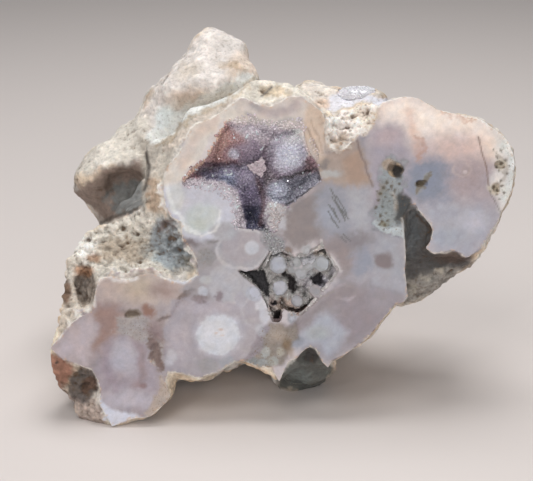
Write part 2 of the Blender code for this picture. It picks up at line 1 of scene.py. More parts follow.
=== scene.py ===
"""Looks of the pink amethyst geode: a sawn and polished chalcedony face on a weathered stone.

The stone is dressed in the frame of its polished face. There u runs to the right along the face, v runs up
it and n is the height in front of it, all in millimetres, so whatever lies behind the face has a negative n.
The colours are painted as named marks. Their places are points on the face as the camera sees it, three to a
millimetre, with x to the right and y down.

Most tones of the marks, and all those of STALACTITES, were not chosen by eye. They were fitted by comparing
the render with the photograph under each mark and scaling the tones to match, so they should be chosen again
by eye before this file serves as an example.
"""

from __future__ import annotations

import logging
import math
from abc import ABC, abstractmethod
from collections.abc import Callable, Mapping, Sequence
from dataclasses import dataclass, field
from enum import Enum
from typing import Any

import bmesh
import bpy
import numpy as np
from mathutils import Matrix, Vector, noise

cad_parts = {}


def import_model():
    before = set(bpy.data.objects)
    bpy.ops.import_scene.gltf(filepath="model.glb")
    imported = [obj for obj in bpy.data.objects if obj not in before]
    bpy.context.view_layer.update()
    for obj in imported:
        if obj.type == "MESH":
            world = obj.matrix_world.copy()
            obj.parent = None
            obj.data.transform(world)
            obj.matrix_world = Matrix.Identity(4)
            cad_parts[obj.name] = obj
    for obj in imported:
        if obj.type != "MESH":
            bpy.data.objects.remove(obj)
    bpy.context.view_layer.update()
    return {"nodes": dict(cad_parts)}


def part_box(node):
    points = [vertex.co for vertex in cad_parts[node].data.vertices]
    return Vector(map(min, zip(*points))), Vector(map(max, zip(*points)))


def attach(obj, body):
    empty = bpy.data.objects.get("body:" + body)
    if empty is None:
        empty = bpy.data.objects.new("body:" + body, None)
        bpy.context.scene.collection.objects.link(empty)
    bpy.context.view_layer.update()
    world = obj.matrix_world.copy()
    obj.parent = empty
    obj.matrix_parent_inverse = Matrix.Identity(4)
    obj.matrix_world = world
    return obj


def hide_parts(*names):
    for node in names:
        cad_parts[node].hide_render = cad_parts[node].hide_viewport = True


log = logging.getLogger("geode")

MM = 0.001  # metres
CRYSTAL_CORNERS = 13  # two rings of six and a tip
FACE_LEAN = 20.0  # degrees, how far the face leans back
MIDDLE = (0.35, 52.0)  # mm, x and y of the middle of the stone's box before it is moved to the origin
POINTS_PER_MM = 3.0
FACE_ZERO = (282.0, 428.0)  # the point of u = 0, v = 0
VIEW_CENTRE = (-5.2, 62.5)  # mm, where the camera looks onto the face
VIEW_DISTANCE = 450.0  # mm
SEED = 7


def linear(tone: str) -> tuple[float, float, float, float]:
    """Turn an sRGB hex colour into linear red, green, blue and alpha.

    Args:
        tone: six hex digits.

    Returns:
        The linear colour, with an alpha of one.
    """
    parts = [int(tone[start : start + 2], 16) / 255 for start in (0, 2, 4)]
    red, green, blue = (
        part / 12.92 if part <= 0.04045 else ((part + 0.055) / 1.055) ** 2.4 for part in parts
    )
    return red, green, blue, 1.0


def per_metre(size_mm: float) -> float:
    """Give the scale of a pattern whose cells are size_mm across."""
    return 1.0 / (size_mm * MM)


def face_matrix() -> Matrix:
    """Give the matrix from the face frame in millimetres to the scene in metres."""
    lean = Matrix.Rotation(math.radians(90.0 - FACE_LEAN), 4, "X")
    return Matrix.Scale(MM, 4) @ Matrix.Translation((-MIDDLE[0], -MIDDLE[1], 0.0)) @ lean


def on_face(x: float, y: float) -> tuple[float, float]:
    """Turn a point on the face into u and v."""
    return (x - FACE_ZERO[0]) / POINTS_PER_MM, (FACE_ZERO[1] - y) / POINTS_PER_MM


def seen_points(points: np.ndarray) -> np.ndarray:
    """Find where the camera sees points of the face frame.

    Args:
        points: rows of u, v and n.

    Returns:
        Rows of x and y, in points on the face.
    """
    nearer = (1.0 - points[:, 2:3] / VIEW_DISTANCE)
    flat = np.asarray(VIEW_CENTRE) + (points[:, :2] - np.asarray(VIEW_CENTRE)) / nearer
    return np.stack(
        [FACE_ZERO[0] + flat[:, 0] * POINTS_PER_MM, FACE_ZERO[1] - flat[:, 1] * POINTS_PER_MM], 1
    )


def smooth_step(low: float, high: float, value: np.ndarray) -> np.ndarray:
    """Rise softly from 0 at low to 1 at high, or fall where low is the higher."""
    share = np.clip((value - low) / (high - low), 0.0, 1.0)
    return share * share * (3.0 - 2.0 * share)


def sampled(points: np.ndarray, size: float, read: Callable[[Vector], float]) -> np.ndarray:
    """Read a noise at points.

    Args:
        points: rows of three coordinates.
        size: the size of the noise's cells, in the same unit.
        read: gives the noise's value at a vector.

    Returns:
        One value for each point.
    """
    rows = (points / size).tolist()
    return np.fromiter((read(Vector(row)) for row in rows), float, len(rows))


def cloud(points: np.ndarray, size: float, octaves: int = 3) -> np.ndarray:
    """Read a soft fractal noise at points, from about -1 to 1."""
    return sampled(points, size, lambda spot: noise.fractal(spot, 0.8, 2.1, octaves))


def segment_distance(spots: np.ndarray, start: Sequence[float], end: Sequence[float]) -> np.ndarray:
    """Measure how far flat spots are from a line.

    Args:
        spots: rows of two coordinates.
        start: where the line starts.
        end: where it ends.

    Returns:
        One distance for each spot.
    """
    a = np.asarray(start, float)
    line = np.asarray(end, float) - a
    share = np.clip((spots - a) @ line / max(float(line @ line), 1e-9), 0.0, 1.0)
    return np.linalg.norm(spots - a - share[:, None] * line, axis=1)


def outline_distance(spots: np.ndarray, outline: Sequence[Sequence[float]]) -> np.ndarray:
    """Measure how far flat spots are outside a closed outline.

    Args:
        spots: rows of two coordinates.
        outline: the corners, in order.

    Returns:
        The distance to the outline, negative inside.
    """
    nearest = np.full(len(spots), np.inf)
    inside = np.zeros(len(spots), bool)
    for start, end in zip(outline, (*outline[1:], outline[0])):
        nearest = np.minimum(nearest, segment_distance(spots, start, end))
        if start[1] != end[1]:
            crosses = (start[1] > spots[:, 1]) != (end[1] > spots[:, 1])
            at = start[0] + (spots[:, 1] - start[1]) * (end[0] - start[0]) / (end[1] - start[1])
            inside ^= crosses & (spots[:, 0] < at)
    return np.where(inside, -nearest, nearest)


@dataclass(frozen=True)
class Mark(ABC):
    """One painted mark. Its sizes are in points on the face.

    Attributes:
        name: what it shows.
        tone: sRGB hex colour.
        soft: width of the edge.
        strength: how much of the mark's colour covers what is below it.
        ragged: how far the edge wanders.
    """

    name: str
    tone: str
    soft: float = 4.0
    strength: float = 1.0
    ragged: float = 2.0

    @abstractmethod
    def distance(self, spots: np.ndarray) -> np.ndarray:
        """Measure how far spots are outside the mark, negative inside."""

    def cover(self, spots: np.ndarray, drift: np.ndarray) -> np.ndarray:
        """Find how much the mark covers each spot.

        Args:
            spots: rows of x and y.
            drift: rows of two noise values, which move the spots for this mark.

        Returns:
            Shares from 0 to 1.
        """
        away = self.distance(spots + drift * self.ragged)
        return self.strength * smooth_step(self.soft / 2, -self.soft / 2, away)


@dataclass(frozen=True)
class Disc(Mark):
    """An ellipse.

    Attributes:
        at: its middle.
        size: its two radii.
        turn: degrees by which it is turned, clockwise as seen.
    """

    at: tuple[float, float] = (0.0, 0.0)
    size: tuple[float, float] = (1.0, 1.0)
    turn: float = 0.0

    def distance(self, spots: np.ndarray) -> np.ndarray:
        """Measure roughly how far spots are outside the ellipse.

        Args:
            spots: rows of x and y.

        Returns:
            The distances, negative inside.
        """
        angle = math.radians(self.turn)
        away = spots - np.asarray(self.at)
        along = away[:, 0] * math.cos(angle) + away[:, 1] * math.sin(angle)
        across = away[:, 1] * math.cos(angle) - away[:, 0] * math.sin(angle)
        share = np.hypot(along / self.size[0], across / self.size[1])
        return (share - 1.0) * min(self.size)


@dataclass(frozen=True)
class Ring(Disc):
    """A band along an ellipse.

    Attributes:
        width: the band's width.
    """

    width: float = 2.0

    def distance(self, spots: np.ndarray) -> np.ndarray:
        """Measure roughly how far spots are outside the band."""
        return np.abs(super().distance(spots)) - self.width / 2


@dataclass(frozen=True)
class Area(Mark):
    """A closed outline.

    Attributes:
        outline: its corners.
    """

    outline: tuple[tuple[float, float], ...] = ()

    def distance(self, spots: np.ndarray) -> np.ndarray:
        """Measure how far spots are outside the outline."""
        return outline_distance(spots, self.outline)


@dataclass(frozen=True)
class Streak(Mark):
    """A line with a width.

    Attributes:
        line: its points.
        width: its width.
    """

    line: tuple[tuple[float, float], ...] = ()
    width: float = 2.0

    def distance(self, spots: np.ndarray) -> np.ndarray:
        """Measure how far spots are outside the line."""
        parts = [segment_distance(spots, start, end) for start, end in zip(self.line, self.line[1:])]
        return np.minimum.reduce(parts) - self.width / 2


def wandering(spots: np.ndarray) -> np.ndarray:
    """Make the noise that makes the marks' edges uneven.

    Args:
        spots: rows of x and y.

    Returns:
        Two values for each spot.
    """
    deep = np.column_stack([spots, np.zeros(len(spots))])
    side = deep + (31.7, 11.3, 5.1)
    return np.stack([1.3 * cloud(spot, 16.0, 3) + 0.5 * cloud(spot, 4.0, 3) for spot in (deep, side)], 1)


def painted(base: np.ndarray, spots: np.ndarray, marks: Sequence[Mark]) -> np.ndarray:
    """Paint marks over a base colour, in order.

    Args:
        base: rows of linear red, green and blue.
        spots: where the camera sees each row, in points.
        marks: the marks, the lowest first.

    Returns:
        The painted rows.
    """
    drift = wandering(spots)
    colours = base.copy()
    for mark in marks:
        cover = mark.cover(spots, drift)[:, None]
        colours += cover * (np.asarray(linear(mark.tone)[:3]) - colours)
    return colours


# The marks on the polished face, the lowest first. Each has its name, tone, soft edge, strength and ragged
# edge, and then its middle and radii, its outline or its line.
FACE_MARKS: tuple[Mark, ...] = (
    # The right lobe
    Area("lavender of the right lobe", "a6999e", 24, 1, 2, ((366, 100), (405, 94), (436, 106), (482, 118),
        (518, 145), (516, 190), (502, 222), (482, 252), (464, 262), (430, 258), (423, 244), (430, 228),
        (414, 205), (404, 212), (398, 232), (370, 226), (360, 160))),
    Area("peach top", "f4e4d8", 35, 1, 2, ((376, 100), (405, 90), (436, 102), (484, 114), (516, 142),
        (506, 160), (482, 152), (462, 138), (436, 138), (412, 140), (396, 124), (380, 122))),
    Disc("pink middle", "d0b3a9", 32, 0.9, 2, (462, 150), (30, 13)),
    Disc("light peach end", "e9d4c4", 14, 1, 2, (498, 146), (13, 12)),
    Disc("mauve middle", "9b898c", 32, 1, 2, (466, 180), (25, 19)),
    Area("pale lavender low end", "9997a2", 24, 1, 2, ((428, 206), (446, 197), (472, 206), (500, 212),
        (495, 226), (484, 244), (466, 260), (452, 252), (432, 256), (427, 240), (434, 228), (424, 214))),
    Disc("white lavender low end", "9496a2", 14, 1, 2, (447, 236), (15, 9)),
    Disc("rosy low end", "b1aeb9", 14, 1, 2, (474, 222), (14, 9)),
    Area("blue grey agate", "707588", 19, 1, 4, ((409, 164), (420, 158), (436, 155), (446, 164), (450, 181),
        (446, 197), (432, 206), (420, 206), (410, 197), (401, 186))),
    Area("grey tongue", "938994", 16, 1, 2, ((369, 208), (367, 182), (369, 150), (376, 132), (388, 124),
        (400, 130), (407, 147), (409, 166), (404, 186), (398, 178), (385, 178), (380, 202))),
    Disc("mauve tip of the tongue", "b29b9c", 14, 0.8, 2, (388, 137), (14, 9)),
    Streak("rust vein", "c4957c", 14, 0.55, 3, ((409, 112), (413, 130), (418, 150), (420, 158)), width=7),
    Streak("rust dots", "a67862", 3, 0.5, 4, ((418, 138), (424, 150), (419, 158)), width=4),
    Ring("shell ring", "af9c9b", 2, 0.8, 1, (461, 170), (9, 7), width=2),
    Ring("inner shell ring", "9e8c8a", 2, 0.7, 1, (465, 171), (4, 4), width=1.6),
    Disc("shell spot", "baabae", 1.5, 1, 0, (465, 172), (2.2, 1.8)),
    Area("pale end", "ded8d3", 10, 0.9, 3, ((488, 120), (502, 130), (520, 150), (520, 190), (508, 210),
        (501, 214), (496, 200), (492, 186), (493, 165), (496, 148), (490, 132))),
    Streak("greenish edge of the end", "e3e3de", 6, 0.9, 4, ((506, 140), (513, 156), (513, 180), (506, 200)),
        width=9),
    Streak("brown specks of the end", "9a8f80", 3, 0.5, 5, ((500, 152), (506, 170), (503, 186)), width=4),
    Streak("crack", "6e4d3e", 1.2, 0.85, 0.7, ((478, 137), (483, 155), (487, 172), (490, 190)), width=1.5),
    Streak("thin crack", "5e544d", 1, 0.7, 0.7, ((490, 193), (495, 203), (501, 213)), width=1.1),
    # The white along the lobe's top edge is partly chalky crust, partly a painted highlight of its lit rim.
    Streak("white crust of the lobe", "f6f2ee", 4, 0.9, 3, ((372, 103), (384, 98), (396, 94), (410, 93),
        (424, 96), (436, 103), (450, 108), (466, 113), (482, 118), (496, 127), (508, 140), (515, 156),
        (516, 172)), width=5),
    Streak("rusty specks under the crust", "c79a7c", 3, 0.55, 4, ((431, 106), (444, 112), (458, 117),
        (474, 121)), width=3),
    # The neck, from the main hollow to the notch
    Area("neck", "827a81", 14, 1, 2, ((314, 150), (366, 131), (370, 200), (404, 235), (408, 300), (366, 344),
        (332, 364), (296, 350), (296, 320), (330, 290), (345, 262), (318, 240), (316, 200))),
    Area("tan agate", "957f71", 10, 1, 3, ((316, 154), (335, 148), (356, 139), (367, 163), (371, 186),
        (362, 190), (345, 187), (325, 184), (314, 172))),
    Area("orange agate", "916d51", 12, 0.75, 3, ((343, 160), (360, 150), (369, 178), (361, 192), (346, 188))),
    Disc("grey blotch", "64554f", 4, 0.9, 3, (325, 162), (5, 6)),
    Disc("pale blotch", "a4a09d", 5, 0.9, 3, (330, 173), (11, 5)),
    Streak("dark seam", "5e3c2a", 2, 0.85, 1, ((357, 141), (361, 155), (366, 165), (369, 178), (372, 187)),
        width=1.8),
    Area("chalk patch", "d9cdc4", 4, 1, 4, ((321, 112), (335, 110), (352, 104), (376, 104), (376, 120),
        (368, 131), (357, 135), (350, 147), (335, 154), (326, 147), (322, 130))),
    Disc("rusty chalk", "dcc08f", 8, 0.4, 6, (363, 116), (11, 8)),
    Disc("speckled chalk", "87715b", 10, 0.6, 5, (338, 143), (10, 6)),
    Disc("dark chips", "5f5245", 2, 0.8, 2, (326, 136), (2, 4)),
    Area("cream right of the hollow", "c5ad98", 12, 1, 2, ((286, 92), (323, 111), (326, 140), (322, 160),
        (311, 154), (304, 140), (303, 122), (298, 108))),
    Streak("brown veins", "664434", 2, 0.6, 1.5, ((308, 127), (313, 140), (318, 150)), width=2.2),
    Streak("pale brown vein", "8a6651", 2, 0.5, 1.5, ((311, 120), (319, 138), (322, 152)), width=1.5),
    Area("taupe agate", "6b5b5a", 14, 1, 3, ((272, 214), (285, 203), (300, 197), (312, 190), (321, 188),
        (321, 215), (322, 240), (300, 248), (283, 242), (272, 228))),
    Disc("pale taupe", "786561", 16, 0.6, 3, (291, 226), (12, 9)),
    Area("lavender grey agate", "7c7b87", 14, 1, 3, ((317, 192), (330, 185), (344, 189), (352, 205),
        (350, 225), (346, 241), (332, 238), (319, 226), (315, 206))),
    Disc("white of the lavender grey", "868999", 12, 0.8, 2, (329, 217), (9, 12), turn=-20),
    Area("pale agate", "96949c", 16, 1, 3, ((345, 188), (366, 190), (372, 215), (370, 236), (352, 234),
        (350, 212))),
    Area("pink brown band", "786565", 14, 1, 3, ((316, 238), (345, 240), (354, 250), (352, 266), (345, 278),
        (336, 260), (322, 246))),
    Disc("mauve cloud", "5f5158", 16, 0.9, 4, (356, 240), (17, 8)),
    Disc("blue cloud", "77798a", 14, 1, 4, (364, 262), (11, 15)),
    Area("lavender by the notch", "8d8b94", 14, 1, 3, ((374, 232), (400, 235), (406, 270), (408, 298),
        (388, 292), (370, 284), (374, 262))),
    Disc("brown spot", "583f41", 7, 0.95, 2.5, (384, 260), (8, 8)),
    Area("mauve low neck", "77676e", 21, 1, 4, ((330, 292), (352, 286), (380, 292), (404, 302), (384, 322),
        (350, 350), (340, 330), (334, 306))),
    Streak("pale flow", "979099", 14, 0.8, 4, ((356, 281), (376, 276), (400, 286)), width=7),
    Disc("rosy low neck", "837981", 16, 0.8, 3, (384, 303), (14, 9)),
    Ring("ringed spot", "9c9096", 3, 0.8, 2, (345, 292), (9, 7), width=3),
    Disc("dark of the ringed spot", "6f6067", 3, 0.7, 2, (353, 292), (4, 4)),
    Streak("mauve edge of the lower hollow", "726165", 12, 0.9, 2, ((292, 328), (306, 318), (322, 304),
        (338, 294), (352, 287)), width=10),
    Streak("pink line of the lower hollow", "7c6d6b", 2, 0.8, 1.5, ((298, 318), (312, 305), (322, 298),
        (334, 291)), width=2.4),
    Area("white blue agate", "9394a1", 10, 1, 2, ((325, 311), (335, 319), (348, 332), (342, 341), (336, 350),
        (329, 355), (320, 346), (308, 345), (292, 351), (288, 343), (300, 333), (310, 325), (318, 315))),
    Disc("greenish middle", "8f9292", 12, 0.8, 2, (318, 333), (10, 7)),
    Disc("lilac end", "747682", 5, 0.8, 2, (296, 342), (8, 6), turn=-30),
    Area("chalky halo of the pit", "9da3a6", 7, 0.95, 5, ((384, 160), (392, 156), (402, 165), (404, 182),
        (400, 192), (397, 206), (404, 222), (405, 238), (398, 234), (384, 231), (374, 228), (372, 214),
        (378, 200), (380, 182))),
    Disc("speck field", "8f8168", 4, 0.75, 3, (383, 222), (6, 6)),
    Disc("upper speck field", "8e8776", 4, 0.6, 4, (381, 191), (5, 8)),
    Streak("pale foot of the halo", "c0c6c8", 4, 0.9, 4, ((377, 222), (385, 230), (395, 231), (403, 235)),
        width=8),
    # Painted shade: the bay over the notch is painted dark grey.
    Area("dark bay over the notch", "4c4e4f", 6, 1, 3, ((393, 196), (402, 190), (408, 196), (412, 208),
        (416, 214), (408, 216), (406, 224), (398, 222), (392, 210))),
    Streak("pale edge of the notch", "cfcac4", 2.5, 0.6, 1, ((402, 218), (405, 240), (407, 262), (406, 275),
        (409, 298)), width=2.4),
    Streak("pale edge by the lower hollow", "c6bdbb", 2.5, 0.8, 1, ((321, 240), (327, 254), (335, 262),
        (341, 271)), width=2.5),
    # The beige corner between the lower hollow and the arch
    Area("beige corner", "948a82", 6, 1, 3, ((262, 328), (274, 324), (286, 326), (298, 320), (297, 336),
        (289, 350), (283, 364), (262, 370), (238, 366), (254, 346))),
    Disc("ochre edge", "80694d", 4, 0.7, 2, (288, 347), (4, 10), turn=-20),
    Disc("tan corner", "b2a59b", 10, 0.8, 2, (276, 335), (9, 7)),
    Disc("pale ball", "b1b1ae", 2.5, 1, 1, (265, 352), (5, 6)),
    Disc("second pale ball", "b0a99e", 2.5, 1, 1, (280, 352), (3.5, 4.5)),
    Disc("third pale ball", "909292", 2.5, 1, 1, (252, 361), (6, 5)),
    Disc("fourth pale ball", "9d9f9f", 2.5, 1, 1, (263, 363), (6, 5)),
    Disc("fifth pale ball", "a8a7a2", 2.5, 1, 1, (273, 361), (5, 5)),
    # The left foot
    Area("left foot", "998d8e", 18, 1, 2, ((46, 348), (62, 324), (92, 307), (96, 276), (127, 276), (150, 268),
        (172, 277), (200, 272), (200, 300), (172, 302), (165, 340), (168, 374), (174, 397), (150, 421),
        (108, 430), (96, 400), (82, 366), (60, 360))),
    Area("peach agate", "b5a39c", 16, 1, 3, ((95, 277), (127, 276), (150, 268), (172, 277), (186, 282),
        (180, 295), (165, 303), (140, 308), (118, 305), (99, 300))),
    Disc("straw cloud", "b4a38f", 21, 0.75, 3, (140, 287), (17, 13)),
    Disc("rosy cloud", "886d67", 16, 0.8, 3, (163, 290), (12, 7)),
    Area("pink brown agate", "94776f", 16, 1, 3, ((96, 301), (118, 306), (123, 322), (113, 338), (99, 352),
        (90, 356), (96, 335), (92, 316))),
    Area("lavender agate", "b7aaae", 16, 1, 3, ((68, 330), (92, 314), (97, 330), (91, 352), (84, 364),
        (60, 360), (48, 349))),
    Area("lavender foot", "9e929a", 16, 1, 3, ((112, 340), (130, 334), (147, 342), (160, 372), (166, 398),
        (142, 416), (106, 404), (93, 372), (98, 354))),
    Disc("white blue heart", "b0abb5", 18, 1, 2, (124, 357), (13, 15)),
    Streak("mauve arc", "8c787c", 10, 0.8, 2, ((137, 338), (143, 356), (141, 376), (133, 392)), width=7),
    Streak("inner mauve arc", "907f8a", 10, 0.6, 2, ((108, 344), (104, 360), (110, 380), (122, 392)),
        width=6),
    Disc("pale low foot", "bcb5be", 18, 0.9, 3, (128, 400), (25, 8)),
    Disc("mauve spot", "836669", 3, 0.8, 1, (143, 385), (4, 3)),
    # Painted highlights: the top edge of the polished plate over the foot, painted white and bluish where it
    # catches the light.
    Streak("white top edge of the foot", "d9d3d0", 3, 0.85, 2, ((94, 304), (95, 285), (100, 278), (108, 277),
        (123, 281), (136, 278)), width=4),
    Streak("bluish top edge of the foot", "d3d6e0", 3, 0.8, 2, ((160, 273), (174, 279), (184, 282),
        (197, 276)), width=4),
    Area("white bevel", "d0d1dd", 5, 1, 2, ((96, 394), (103, 403), (112, 409), (124, 413), (136, 416),
        (142, 420), (130, 425), (112, 431), (100, 420))),
    Area("beige right edge", "b9aaa0", 5, 1, 3, ((162, 376), (174, 397), (166, 408), (150, 421), (144, 413),
        (156, 396))),
    Area("rough white seam", "aca5a4", 6, 0.9, 4, ((118, 319), (140, 315), (150, 325), (161, 345), (167, 370),
        (156, 364), (146, 344), (128, 335), (114, 331))),
    Disc("mauve by the flower", "846e6f", 12, 0.9, 3, (158, 331), (9, 11)),
    Disc("rust spot", "835136", 5, 0.85, 3, (147, 311), (7, 5), turn=60),
    Streak("crumbled seam", "72635e", 3, 0.7, 3, ((160, 318), (170, 314), (180, 300), (192, 294)), width=3),
    Streak("dark seam spots", "756660", 2.5, 0.7, 3, ((176, 299), (186, 294), (194, 292)), width=3.5),
    # The flower with the large eye
    Area("greyish fill", "928b8f", 7, 1, 2, ((180, 233), (200, 230), (222, 233), (224, 262), (234, 268),
        (250, 285), (254, 298), (215, 304), (198, 302), (180, 290), (196, 275), (192, 256))),
    Disc("pink brown corner", "563f3f", 7, 0.85, 3, (191, 239), (10, 7)),
    Disc("greenish fill", "9b9998", 7, 0.7, 3, (206, 256), (9, 9)),
    Streak("dark vein", "594e4a", 2.5, 0.7, 2, ((203, 238), (211, 243), (219, 242)), width=2.5),
    Area("flower", "9a9197", 3, 1, 1.2, ((172, 300), (186, 297), (205, 300), (222, 304), (236, 304),
        (243, 306), (247, 300), (257, 297), (266, 301), (270, 311), (267, 321), (270, 328), (264, 336),
        (263, 347), (252, 358), (236, 363), (222, 374), (199, 380), (180, 374), (166, 371), (163, 352),
        (164, 330), (170, 315))),
    Disc("pale top of the flower", "a89da5", 8, 0.8, 2, (206, 308), (30, 6)),
    Disc("left of the flower", "aba0a7", 9, 0.8, 2, (179, 345), (11, 22)),
    Ring("scallop", "b1a9b1", 2.5, 0.4, 1.5, (255, 312), (14, 15), width=2.5),
    Ring("lower scallop", "9e9999", 2.5, 0.35, 1.5, (250, 336), (15, 14), width=2.5),
    Disc("low knob", "8f8a8c", 3, 0.9, 1.5, (207, 366), (11, 8)),
    Disc("second low knob", "8b8c93", 3, 0.8, 1.5, (226, 361), (8, 6)),
    Disc("halo of the large eye", "a8a1aa", 6, 0.9, 1.5, (218, 335), (26, 23)),
    Disc("large eye", "c2c2c8", 3, 1, 2.4, (218, 335), (22, 20)),
    Disc("heart of the large eye", "cdcbd0", 9, 0.8, 2, (215, 334), (13, 12)),
    Disc("white lobe of the flower", "c4c1c6", 3.5, 0.85, 2, (263, 304), (7, 7)),
    Disc("second white lobe of the flower", "bdbac0", 3.5, 0.85, 2, (265, 317), (5.5, 6)),
    Disc("third white lobe of the flower", "b6b3b8", 3.5, 0.8, 2, (261, 330), (5.5, 6)),
    Disc("lobe at the left of the flower", "b9b5ba", 3.5, 0.7, 2, (171, 357), (6, 8)),
    Disc("orange speck", "bd9a84", 1.5, 0.7, 0.5, (221, 329), (2.4, 1.0)),
    Disc("second orange speck", "c2a695", 1.2, 0.8, 0.5, (216, 333), (1.8, 1.0)),
    Disc("third orange speck", "c2a695", 1.2, 0.7, 0.5, (222, 335), (2.0, 0.8)),
    Disc("pale round", "a29ea4", 4, 1, 1.5, (229, 283), (22, 20)),
    Disc("small pale disc", "a6a4a6", 2, 0.9, 1, (205, 280), (6, 4.5)),
    Disc("second small pale disc", "afafb8", 2, 0.9, 1, (203, 292), (5, 5)),
    Disc("blue drop", "9b96a1", 2.5, 0.8, 1, (240, 299), (5, 8)),
    Disc("plum speck", "61434e", 3, 0.75, 2.5, (219, 297), (4, 5)),
    Disc("plum crumbs", "827171", 3, 0.6, 3, (200, 299), (7, 2)),
    # Between the two hollows
    Disc("second eye's halo", "948f95", 4, 1, 1.5, (244, 248), (26, 23)),
    Disc("second eye's flesh", "988e93", 6, 0.9, 1.5, (243, 246), (20, 17)),
    Ring("rim of the second eye's flesh", "b9b3b6", 2.5, 0.7, 2, (243, 249), (26, 20), width=2.5),
    Disc("second eye", "b2b1b8", 3, 1, 0.6, (252, 248), (7, 7)),
    Area("grey druse edge", "9e9ca1", 4, 0.9, 3, ((258, 229), (272, 234), (283, 240), (285, 251), (272, 258),
        (264, 248))),
    Disc("brown corner", "89776a", 4, 0.8, 2, (288, 250), (5, 4)),
    # The white dome left of the main hollow
    Area("white dome", "b9b7c1", 6, 1, 2, ((163, 176), (176, 166), (184, 186), (200, 184), (218, 186),
        (230, 193), (238, 206), (240, 224), (230, 237), (205, 241), (186, 238), (170, 220), (162, 202))),
    Disc("pearl rim", "c6c5c2", 6, 0.8, 2, (176, 198), (8, 15)),
    Disc("greenish heart", "b7bcbb", 10, 0.95, 2, (201, 218), (18, 15), turn=-20),
    Disc("lilac foot of the dome", "989499", 5, 0.9, 2, (224, 231), (13, 9)),
    Disc("deep of the heart", "aeb2a9", 10, 0.7, 3, (197, 224), (9, 7)),
    Streak("crisp edge of the heart", "dcdad8", 2.5, 0.6, 1.5, ((219, 211), (220, 222), (214, 231),
        (202, 236)), width=2.5),
    Streak("bright lower edge of the dome", "dfdfdd", 3, 0.7, 2, ((166, 182), (169, 198), (175, 212),
        (185, 225), (199, 234)), width=4),
    # The sugary lobes right of the throat
    Area("rosy lobes of the face", "b1adb2", 10, 0.9, 5, ((263, 199), (276, 201), (288, 208), (286, 218),
        (280, 232), (270, 233), (262, 222))),
    # The rim over the main hollow
    Area("rosy rim", "d1c7bd", 8, 1, 2, ((160, 186), (166, 165), (180, 150), (190, 124), (207, 116),
        (232, 100), (260, 100), (250, 114), (230, 124), (217, 138), (208, 153), (196, 166), (184, 180),
        (172, 186))),
    Streak("rosy band", "ccbaaf", 8, 0.9, 2, ((182, 166), (190, 148), (199, 133), (214, 120)), width=10),
    Streak("milky band", "ccc0bd", 4, 0.9, 2, ((186, 176), (200, 160), (209, 148), (215, 134), (224, 123)),
        width=6),
    Area("cream over the hollow", "c7bbb3", 7, 1, 2, ((232, 100), (258, 101), (281, 98), (298, 94),
        (308, 106), (302, 120), (285, 124), (262, 126), (240, 120))),
    Streak("grey arc", "ab9b9a", 8, 0.85, 1.5, ((253, 105), (263, 112), (276, 114), (288, 111), (297, 104)),
        width=9),
    Streak("cream arc", "9e9796", 3, 0.8, 1.5, ((246, 113), (260, 122), (276, 124), (292, 118)), width=3),
    Streak("thin grey arc", "968f92", 3, 0.6, 1.5, ((250, 120), (266, 127), (282, 127)), width=2.5),
    Disc("dark corner of the arcs", "928f8f", 4, 0.6, 1.5, (256, 108), (6, 3), turn=35),
)

# Brown specks of the chalky halo, of the slanting pit and of the right end: x, y and radius
SPECKS: tuple[tuple[float, float, float], ...] = (
    (383, 187, 1.6), (388, 190, 1.3), (380, 193, 1.7), (391, 187, 1.4), (385, 197, 1.2), (378, 200, 1.6),
    (389, 201, 1.1), (382, 207, 1.2), (393, 195, 1.5), (376, 207, 1.4), (380, 214, 1.3), (386, 183, 1.5),
    (382, 220, 2.0), (385, 224, 1.8), (379, 223, 1.5), (388, 219, 1.4), (384, 229, 1.2), (376, 190, 1.2),
    (395, 190, 1.3), (399, 184, 1.4), (386, 213, 1.1), (417.5, 189.5, 1.9), (421, 186, 2.1),
    (424, 182.5, 2.3), (427, 180, 1.8), (429.5, 176, 1.9), (424.5, 187.5, 1.3), (420, 181.5, 1.1),
    (431, 172.5, 1.1), (497, 157, 1.5), (500, 163, 2.1), (495, 167, 1.5), (503, 168, 1.6), (498, 171, 1.4),
    (505, 160, 1.4), (494, 187, 1.9), (498, 190, 1.8), (491, 191, 1.4), (497, 194, 1.3), (503, 186, 1.2),
    (501, 181, 1.1), (507, 174, 1.2), (502, 150, 1.3), (509, 165, 1.1), (499, 199, 1.1), (494, 149, 1.1),
    (504, 193, 1.2),
)

# The pits, painted on the face and down into the rind
PIT_MARKS: tuple[Mark, ...] = (
    Disc("dish of the halo", "9ba1a2", 5, 1, 3, (388, 207), (9, 16)),
    Disc("specks of the dish", "86836e", 4, 0.7, 5, (384, 221), (6, 5)),
    Disc("straw wall of the pit", "ac9b8b", 3, 0.9, 1, (389, 165), (7, 6)),
    Disc("dark of the pit", "423f3d", 4, 1, 2.5, (397, 172), (6.5, 8)),
    Streak("crumbs of the slanting pit", "8f897b", 3, 0.5, 3, ((417, 190), (422, 185), (429, 176)), width=5),
    Streak("slanting pit", "54492f", 2, 0.85, 3, ((417, 189), (423, 183), (430, 176)), width=3.6),
    Disc("left end of the slanting pit", "4a3f2b", 2, 0.95, 1.5, (419.5, 183.5), (4.5, 3)),
    Disc("brown pit of the end", "c9bfae", 3, 0.85, 4, (500, 165), (6, 7)),
    Disc("lower brown pit of the end", "c0b4a2", 3, 0.85, 4, (496, 189), (6, 6)),
    Disc("dark pit of the foot", "695b4e", 3, 0.9, 3, (131, 315), (9, 4)),
    Streak("dark crumbs of the foot", "7d6965", 3, 0.9, 4, ((149, 342), (155, 352), (162, 366)), width=9),
    *(Disc("speck", "5d5140", 1.4, 0.85, 1.5, at=(x, y), size=(radius, radius)) for x, y, radius in SPECKS),
)

